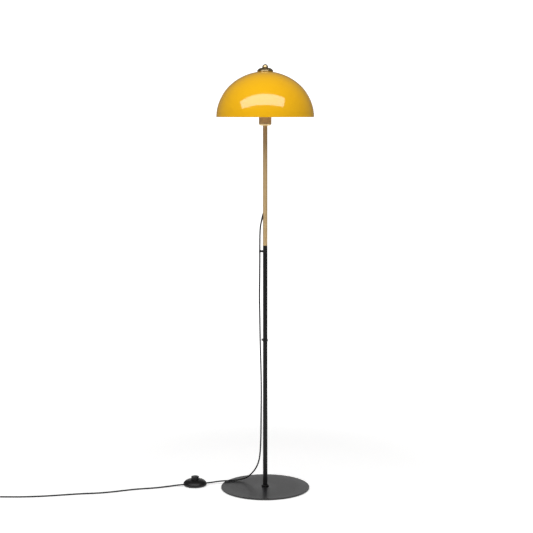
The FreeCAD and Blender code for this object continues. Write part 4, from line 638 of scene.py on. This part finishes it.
piece_of("finial_cap_polished", spun([
    (finial_radius - cap_skin, cap_bottom), (finial_radius - 0.3, cap_bottom),
    (finial_radius, cap_bottom + 0.4),
    *arc(bend_middle, cap_bend, bend_start, bend_end, 16), (cap_hole, cap_top),
    (cap_hole, cap_top - cap_skin), (cap_seat, cap_top - cap_skin),
    (finial_radius - cap_skin, cap_bottom + cap_side)], 128),
    polished, ["finial_cap"])
ball_low, ball_high = span("finial_ball")
ball_radius = 9.2
ball_bore = 3.05
ball_bore_depth = 7
ball_middle = (0, ball_high[2] - ball_radius)
ball_start = -math.degrees(math.asin((ball_middle[1] - ball_low[2]) / ball_radius))
piece_of("finial_ball_polished", spun([
    (ball_bore, ball_low[2]), *arc(ball_middle, ball_radius, ball_start, 90, 32),
    (0, ball_low[2] + ball_bore_depth), (ball_bore, ball_low[2] + ball_bore_depth)], 96),
    polished, ["finial_ball"])


# ---- Foot switch ---------------------------------------------------------------------------------
# A round foot switch moulded in black ABS: a domed cover with a fluted skirt over a screwed base on
# four rubber feet, and a push button on a coil spring that steps a rotor over two brass leaves.
lead_radius = 2.3
lead_height = 5.8
switch_middle = (-221.3, 25.6)
switch_turn = 14.5
abs_black = finish_of("moulded_abs", ("#0c0a0b", "#151214"), (0.38, 0.48), 0.6, 0.015, ior=1.45)
switch_radius = 36.85
switch_tuck = 2.3
switch_lip = 1.1
switch_wall = 2
skirt_bottom = 1.6
flare_top = 6.0
band_top = 7.2
skirt_top = 8.2
shoulder_radius = 22
shoulder_height = 19.6
shoulder_bend = 21
crown_height = 21
mouth = 12.5
flute_count = 40
flute_depth = 0.5
flute_top = 9.7
flute_runout = 1.5


def chord_arc(start, end, bend, steps=10):
    """Points of an arc of the given radius from start to end, bulging outwards and up."""
    across = Vector((end[0] - start[0], end[1] - start[1]))
    middle = Vector(((start[0] + end[0]) / 2, (start[1] + end[1]) / 2))
    inward = Vector((-across.y, across.x)).normalized()
    middle += inward * math.sqrt(bend ** 2 - (across.length / 2) ** 2)
    first = math.degrees(math.atan2(start[1] - middle.y, start[0] - middle.x))
    last = math.degrees(math.atan2(end[1] - middle.y, end[0] - middle.x))
    return arc(middle, bend, first, last, steps)


def at_switch(solid):
    """Turns a solid made round the vertical to the lead's direction and moves it to the switch."""
    bmesh.ops.rotate(
        solid, verts=solid.verts, cent=(0, 0, 0), matrix=Matrix.Rotation(math.radians(switch_turn), 3, "Z"))
    bmesh.ops.translate(solid, verts=solid.verts, vec=(*switch_middle, 0))
    return solid


flare_bend = (switch_tuck ** 2 + (flare_top - skirt_bottom) ** 2) / (2 * switch_tuck)
skirt_inside = switch_radius - switch_wall
cover = spun([
    (switch_radius - switch_tuck - switch_lip, skirt_bottom),
    *chord_arc((switch_radius - switch_tuck, skirt_bottom), (switch_radius, flare_top), flare_bend, 6),
    (switch_radius, band_top),
    *chord_arc((switch_radius, skirt_top), (shoulder_radius, shoulder_height), shoulder_bend, 16),
    (mouth + 3.2, crown_height - 0.25), (mouth + 0.8, crown_height), (mouth + 0.2, crown_height - 0.2),
    (mouth, crown_height - 0.7), (mouth, crown_height - switch_wall),
    *chord_arc((skirt_inside, skirt_top), (shoulder_radius, shoulder_height - switch_wall),
               shoulder_bend - switch_wall, 8)[::-1],
    (skirt_inside, flare_top)], 8 * flute_count)
for corner in cover.verts:
    reach = math.hypot(corner.co.x, corner.co.y)
    if reach > switch_radius - switch_tuck - 0.6 and corner.co.z < flute_top + flute_runout:
        wave = math.cos(flute_count * math.atan2(corner.co.y, corner.co.x))
        fade = min(1, max(0, (flute_top + flute_runout - corner.co.z) / 2))
        inset = flute_depth * fade * max(0, wave) ** 2
        corner.co.x *= (reach - inset) / reach
        corner.co.y *= (reach - inset) / reach
notch_radius = lead_radius + 0.3
notch = bmesh.new()
bmesh.ops.create_cone(
    notch, cap_ends=True, segments=32, radius1=notch_radius, radius2=notch_radius,
    depth=2 * switch_radius + 2,
    matrix=Matrix.Translation((0, 0, lead_height)) @ Matrix.Rotation(math.pi / 2, 4, "Y"))
notch_slot = bmesh.new()
bmesh.ops.create_cube(notch_slot, size=1, matrix=Matrix.Translation(
    (0, 0, lead_height / 2)) @ Matrix.Diagonal((2 * switch_radius + 2, 2 * notch_radius, lead_height, 1)))
cover = shaped(shaped(cover, notch, "DIFFERENCE"), notch_slot, "DIFFERENCE")
piece_of("switch_dome", at_switch(cover), abs_black, ["switch_cover"])

dress(abs_black, "switch_base", "switch_cord_clamps")
dress(rubber, "switch_feet")
dress(zinc, "switch_cover_screws", "switch_clamp_screws")
dress(brass, "switch_contact_leaves", "switch_terminal_screws", "switch_contact_bridge")
dress(housing_white, "switch_rotor")
dress(core_brown, "switch_core_leads")

button_radius = 12.15
button_flange = 14.2
button_round = 1.5
button_wall = 2
button_skin = 2.5
button_gap = 0.4
button_flange_height = 2
sleeve_bore = 5.9
sleeve_radius = 8.1
sleeve_bottom = 15.3
groove_depth = 0.35
button_top = span("switch_button")[1][2]
button_under = button_top - button_skin
flange_top_height = crown_height - switch_wall - button_gap
flange_bottom_height = flange_top_height - button_flange_height
button_outline = [
    (button_radius - button_wall, flange_bottom_height), (button_flange, flange_bottom_height),
    (button_flange, flange_top_height), (button_radius, flange_top_height),
    *arc((button_radius - button_round, button_top - button_round), button_round, 0, 90, 8)]
for groove in (9.2, 7.4, 5.6, 3.8):
    button_outline += [
        (groove, button_top), (groove - 0.25, button_top - groove_depth),
        (groove - 0.55, button_top - groove_depth), (groove - 0.8, button_top)]
button_outline += [
    (0, button_top), (0, button_under), (sleeve_bore, button_under), (sleeve_bore, sleeve_bottom),
    (sleeve_radius, sleeve_bottom), (sleeve_radius, button_under),
    (button_radius - button_wall, button_under)]
piece_of("switch_push_button", at_switch(spun(button_outline, 96)), abs_black,
         ["switch_button"], body="button")

# The button's spring: zinc plated wire wound in four and a half turns, which close up under the foot
spring_low, spring_high = span("switch_spring")
spring_radius = 11
spring_wire = 0.5
spring_turns = 4.5
spring_steps = 48
spring_rise = spring_high[2] - spring_low[2] - 2 * spring_wire
wire_section = Matrix.Translation((spring_radius, 0, spring_low[2] + spring_wire)) @ Matrix.Rotation(
    math.pi / 2, 4, "X")
spring = bmesh.new()
bmesh.ops.create_circle(spring, radius=spring_wire, segments=12, matrix=wire_section)
all_steps = int(spring_turns * spring_steps)
bmesh.ops.spin(
    spring, geom=spring.verts[:] + spring.edges[:], axis=(0, 0, 1), cent=(0, 0, 0), steps=all_steps,
    angle=2 * math.pi * spring_turns, dvec=(0, 0, spring_rise / all_steps))
bmesh.ops.holes_fill(spring, edges=[edge for edge in spring.edges if edge.is_boundary], sides=12)
bmesh.ops.recalc_face_normals(spring, faces=spring.faces)
wound = piece_of("switch_button_spring", at_switch(spring), zinc, ["switch_spring"])
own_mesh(wound)


# ---- Plug ----------------------------------------------------------------------------------------
# A flat two pin mains plug moulded on the lead in one piece: a black PVC body that narrows to a ribbed
# strain relief, and two round pins, nickel plated at the tip and sleeved at the root.
plug_pvc = finish_of("moulded_pvc", ("#131313", "#1d1d1d"), (0.4, 0.5), 0.8, 0.015)
plug_x = -885.3
plug_rear = -36
plug_height = 6.85
relief_length = 24
plug_length = 33
plug_taper = 23
plug_edge = 1.6
plug_front = plug_rear + relief_length


def at_plug(solid, along):
    """Lays a solid made along Z down so that it points along +Y, and moves it along the plug's axis."""
    bmesh.ops.rotate(
        solid, verts=solid.verts, cent=(0, 0, 0), matrix=Matrix.Rotation(-math.pi / 2, 3, "X"))
    bmesh.ops.translate(solid, verts=solid.verts, vec=(plug_x, along, plug_height))
    return solid


body = bmesh.new()
loops = []
for height, wide, flat, thick in (
        (0, 8.8, 5.3, 5.5), (plug_taper, 17.65, 10.5, 6.85), (plug_length, 17.65, 10.5, 6.85)):
    corners = [body.verts.new((x, y, height)) for x, y in (
        (wide, 0), (flat, thick), (-flat, thick), (-wide, 0), (-flat, -thick), (flat, -thick))]
    loops.append([body.edges.new((start, end)) for start, end in zip(corners, corners[1:] + corners[:1])])
for lower, upper in zip(loops, loops[1:]):
    bmesh.ops.bridge_loops(body, edges=lower + upper)
bmesh.ops.holes_fill(body, edges=loops[0] + loops[-1], sides=6)
bmesh.ops.bevel(
    body, geom=body.edges[:], offset=plug_edge, offset_type="OFFSET", affect="EDGES", segments=4, profile=0.5,
    material=-1)
piece_of("plug_moulding", at_plug(body, plug_front), plug_pvc, ["plug_body"])

nickel = finish_of("nickel_plated_brass", ("#b3b1a9", "#cfcdc6"), (0.12, 0.2), 2, 0.002, metallic=1.0)
pin_radius = 2
pin_length = 19
sleeve_length = 10
pin_spacing = 9.2
pins = bmesh.new()
for side in (-pin_spacing, pin_spacing):
    pin = spun([(0, 0), (pin_radius - 0.1, 0), (pin_radius - 0.1, sleeve_length), (pin_radius, sleeve_length),
                *arc((pin_radius - 1, pin_length - 1), 1, 0, 90, 6), (0, pin_length)], 40)
    bmesh.ops.translate(pin, verts=pin.verts, vec=(side, 0, 0))
    pin_mesh = bpy.data.meshes.new("pin")
    pin.to_mesh(pin_mesh)
    pin.free()
    pins.from_mesh(pin_mesh)
piece_of("plug_pins_plated", at_plug(pins, plug_front + plug_length), nickel, ["plug_pins"])

relief_root = 4.6
relief_tip = 2.9
relief_ribs = 6
relief_rib_step = 3.6
relief_outline = [(lead_radius - 0.1, 0), (relief_tip, 0)]
for rib in range(relief_ribs):
    foot = 1.6 + rib * relief_rib_step
    size_here = relief_tip + (relief_root - relief_tip) * foot / relief_length
    relief_outline += [(size_here, foot), (size_here + 0.2, foot + 1.8), (size_here - 0.5, foot + 2.2),
                       (size_here - 0.5, foot + 3.0)]
relief_outline += [(relief_root, relief_length), (lead_radius - 0.1, relief_length)]
piece_of("plug_relief", at_plug(spun(relief_outline, 48), plug_rear), rubber,
         ["plug_strain_relief"], round_edges=0.15)


# ---- Free lead -----------------------------------------------------------------------------------
# A round two core lead in black PVC, drawn through the clips and lying loose on the floor, with the
# last half metre wound into a small coil. The sheath is extruded, so it shines along its length.
sheath = finish_of("extruded_pvc_sheath", ("#080808", "#101010"), (0.38, 0.48), 0.9, 0.01, ior=1.45)
lead_end = 23
floor_height = lead_radius + 0.1


def in_switch(along, across, height):
    """A point given along and across the lead's direction through the switch."""
    turn = math.radians(switch_turn)
    x = switch_middle[0] + along * math.cos(turn) - across * math.sin(turn)
    y = switch_middle[1] + along * math.sin(turn) + across * math.cos(turn)
    return (x, y, height)


def lead(name, route, nodes):
    """A stretch of lead on one smooth spline through its route, in place of its nodes."""
    curve = bpy.data.curves.new(name, "CURVE")
    curve.dimensions = "3D"
    curve.bevel_depth = lead_radius * mm
    curve.bevel_resolution = 6
    curve.resolution_u = 16
    curve.use_fill_caps = True
    curve.materials.append(sheath)
    spline = curve.splines.new("NURBS")
    spline.points.add(len(route) - 1)
    for point, place in zip(spline.points, route):
        point.co = (*(value * mm for value in place), 1)
    spline.order_u = 3
    spline.use_endpoint_u = True
    made = bpy.data.objects.new(name, curve)
    bpy.context.scene.collection.objects.link(made)
    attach(made, "lamp")
    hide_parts(*nodes)
    return made


to_switch = lead("lead_to_switch", [
    exit_place, (-14.2, 0, 829.1), (-16.1, 0, 803), (-16.5, 0, 768), (-16.5, 0, 724),
    (-17.0, 1, 664), (-17.9, 2, 600), (-16.6, 3, 540), (-15.9, 3, 480), (-14.1, 3, 415),
    (-12.6, 3, 352), (-12.2, 3, 288), (-12.9, 3, 228), (-13.3, 4, 172), (-14.8, 6, 124),
    (-18.5, 16, 85), (-28, 34, 56), (-41, 54, 33), (-60, 63, 14), (-88, 60, 8.0), (-118, 53, 8.1),
    (-148, 46.5, 8.0), in_switch(50, 0, lead_height), in_switch(lead_end, 0, lead_height)],
    ["cord_to_switch"])

# The coil goes inwards on the floor and comes back outwards on top of itself
coil_middle = (-856, -78)
coil_radius = 28
loop_step = 5.2
coil_turns = 3.25
coil_reversal = 1.5
coil_steps = 24
layer_step = 2 * lead_radius + 0.55
coil_route = []
for step in range(int(coil_turns * coil_steps) + 1):
    turned = step / coil_steps
    inwards = turned if turned <= coil_reversal else 2 * coil_reversal - turned
    reach = coil_radius - loop_step * inwards
    climb = min(max((turned - coil_reversal + 0.25) / 0.5, 0), 1)
    heading = -math.pi / 2 - 2 * math.pi * turned
    coil_route.append((
        coil_middle[0] + reach * math.cos(heading), coil_middle[1] + reach * math.sin(heading),
        floor_height + layer_step * climb))
last_x, last_y, last_height = coil_route[-1]
to_plug = lead("lead_to_plug", [
    in_switch(-lead_end, 0, lead_height), in_switch(-50, 0, lead_height), (-300, 8, 3.0),
    (-343, -9.5, floor_height), (-400, -22, floor_height), (-440, -38, floor_height),
    (-478, -55, floor_height), (-520, -67, floor_height), (-572, -73.5, floor_height),
    (-630, -88, floor_height), (-688, -101, floor_height), (-746, -107, floor_height),
    (-800, coil_middle[1] - coil_radius, floor_height),
    (coil_middle[0] + 2 * lead_radius, coil_middle[1] - coil_radius, floor_height), *coil_route,
    (last_x, last_y + 2 * lead_radius, last_height), (last_x, last_y + 2 * lead_radius + 10, last_height),
    (plug_x, plug_rear - 10, plug_height), (plug_x, plug_rear, plug_height)],
    ["cord_to_coil", "cord_coil", "cord_to_plug"])

dress(sheath, "inner_cable")
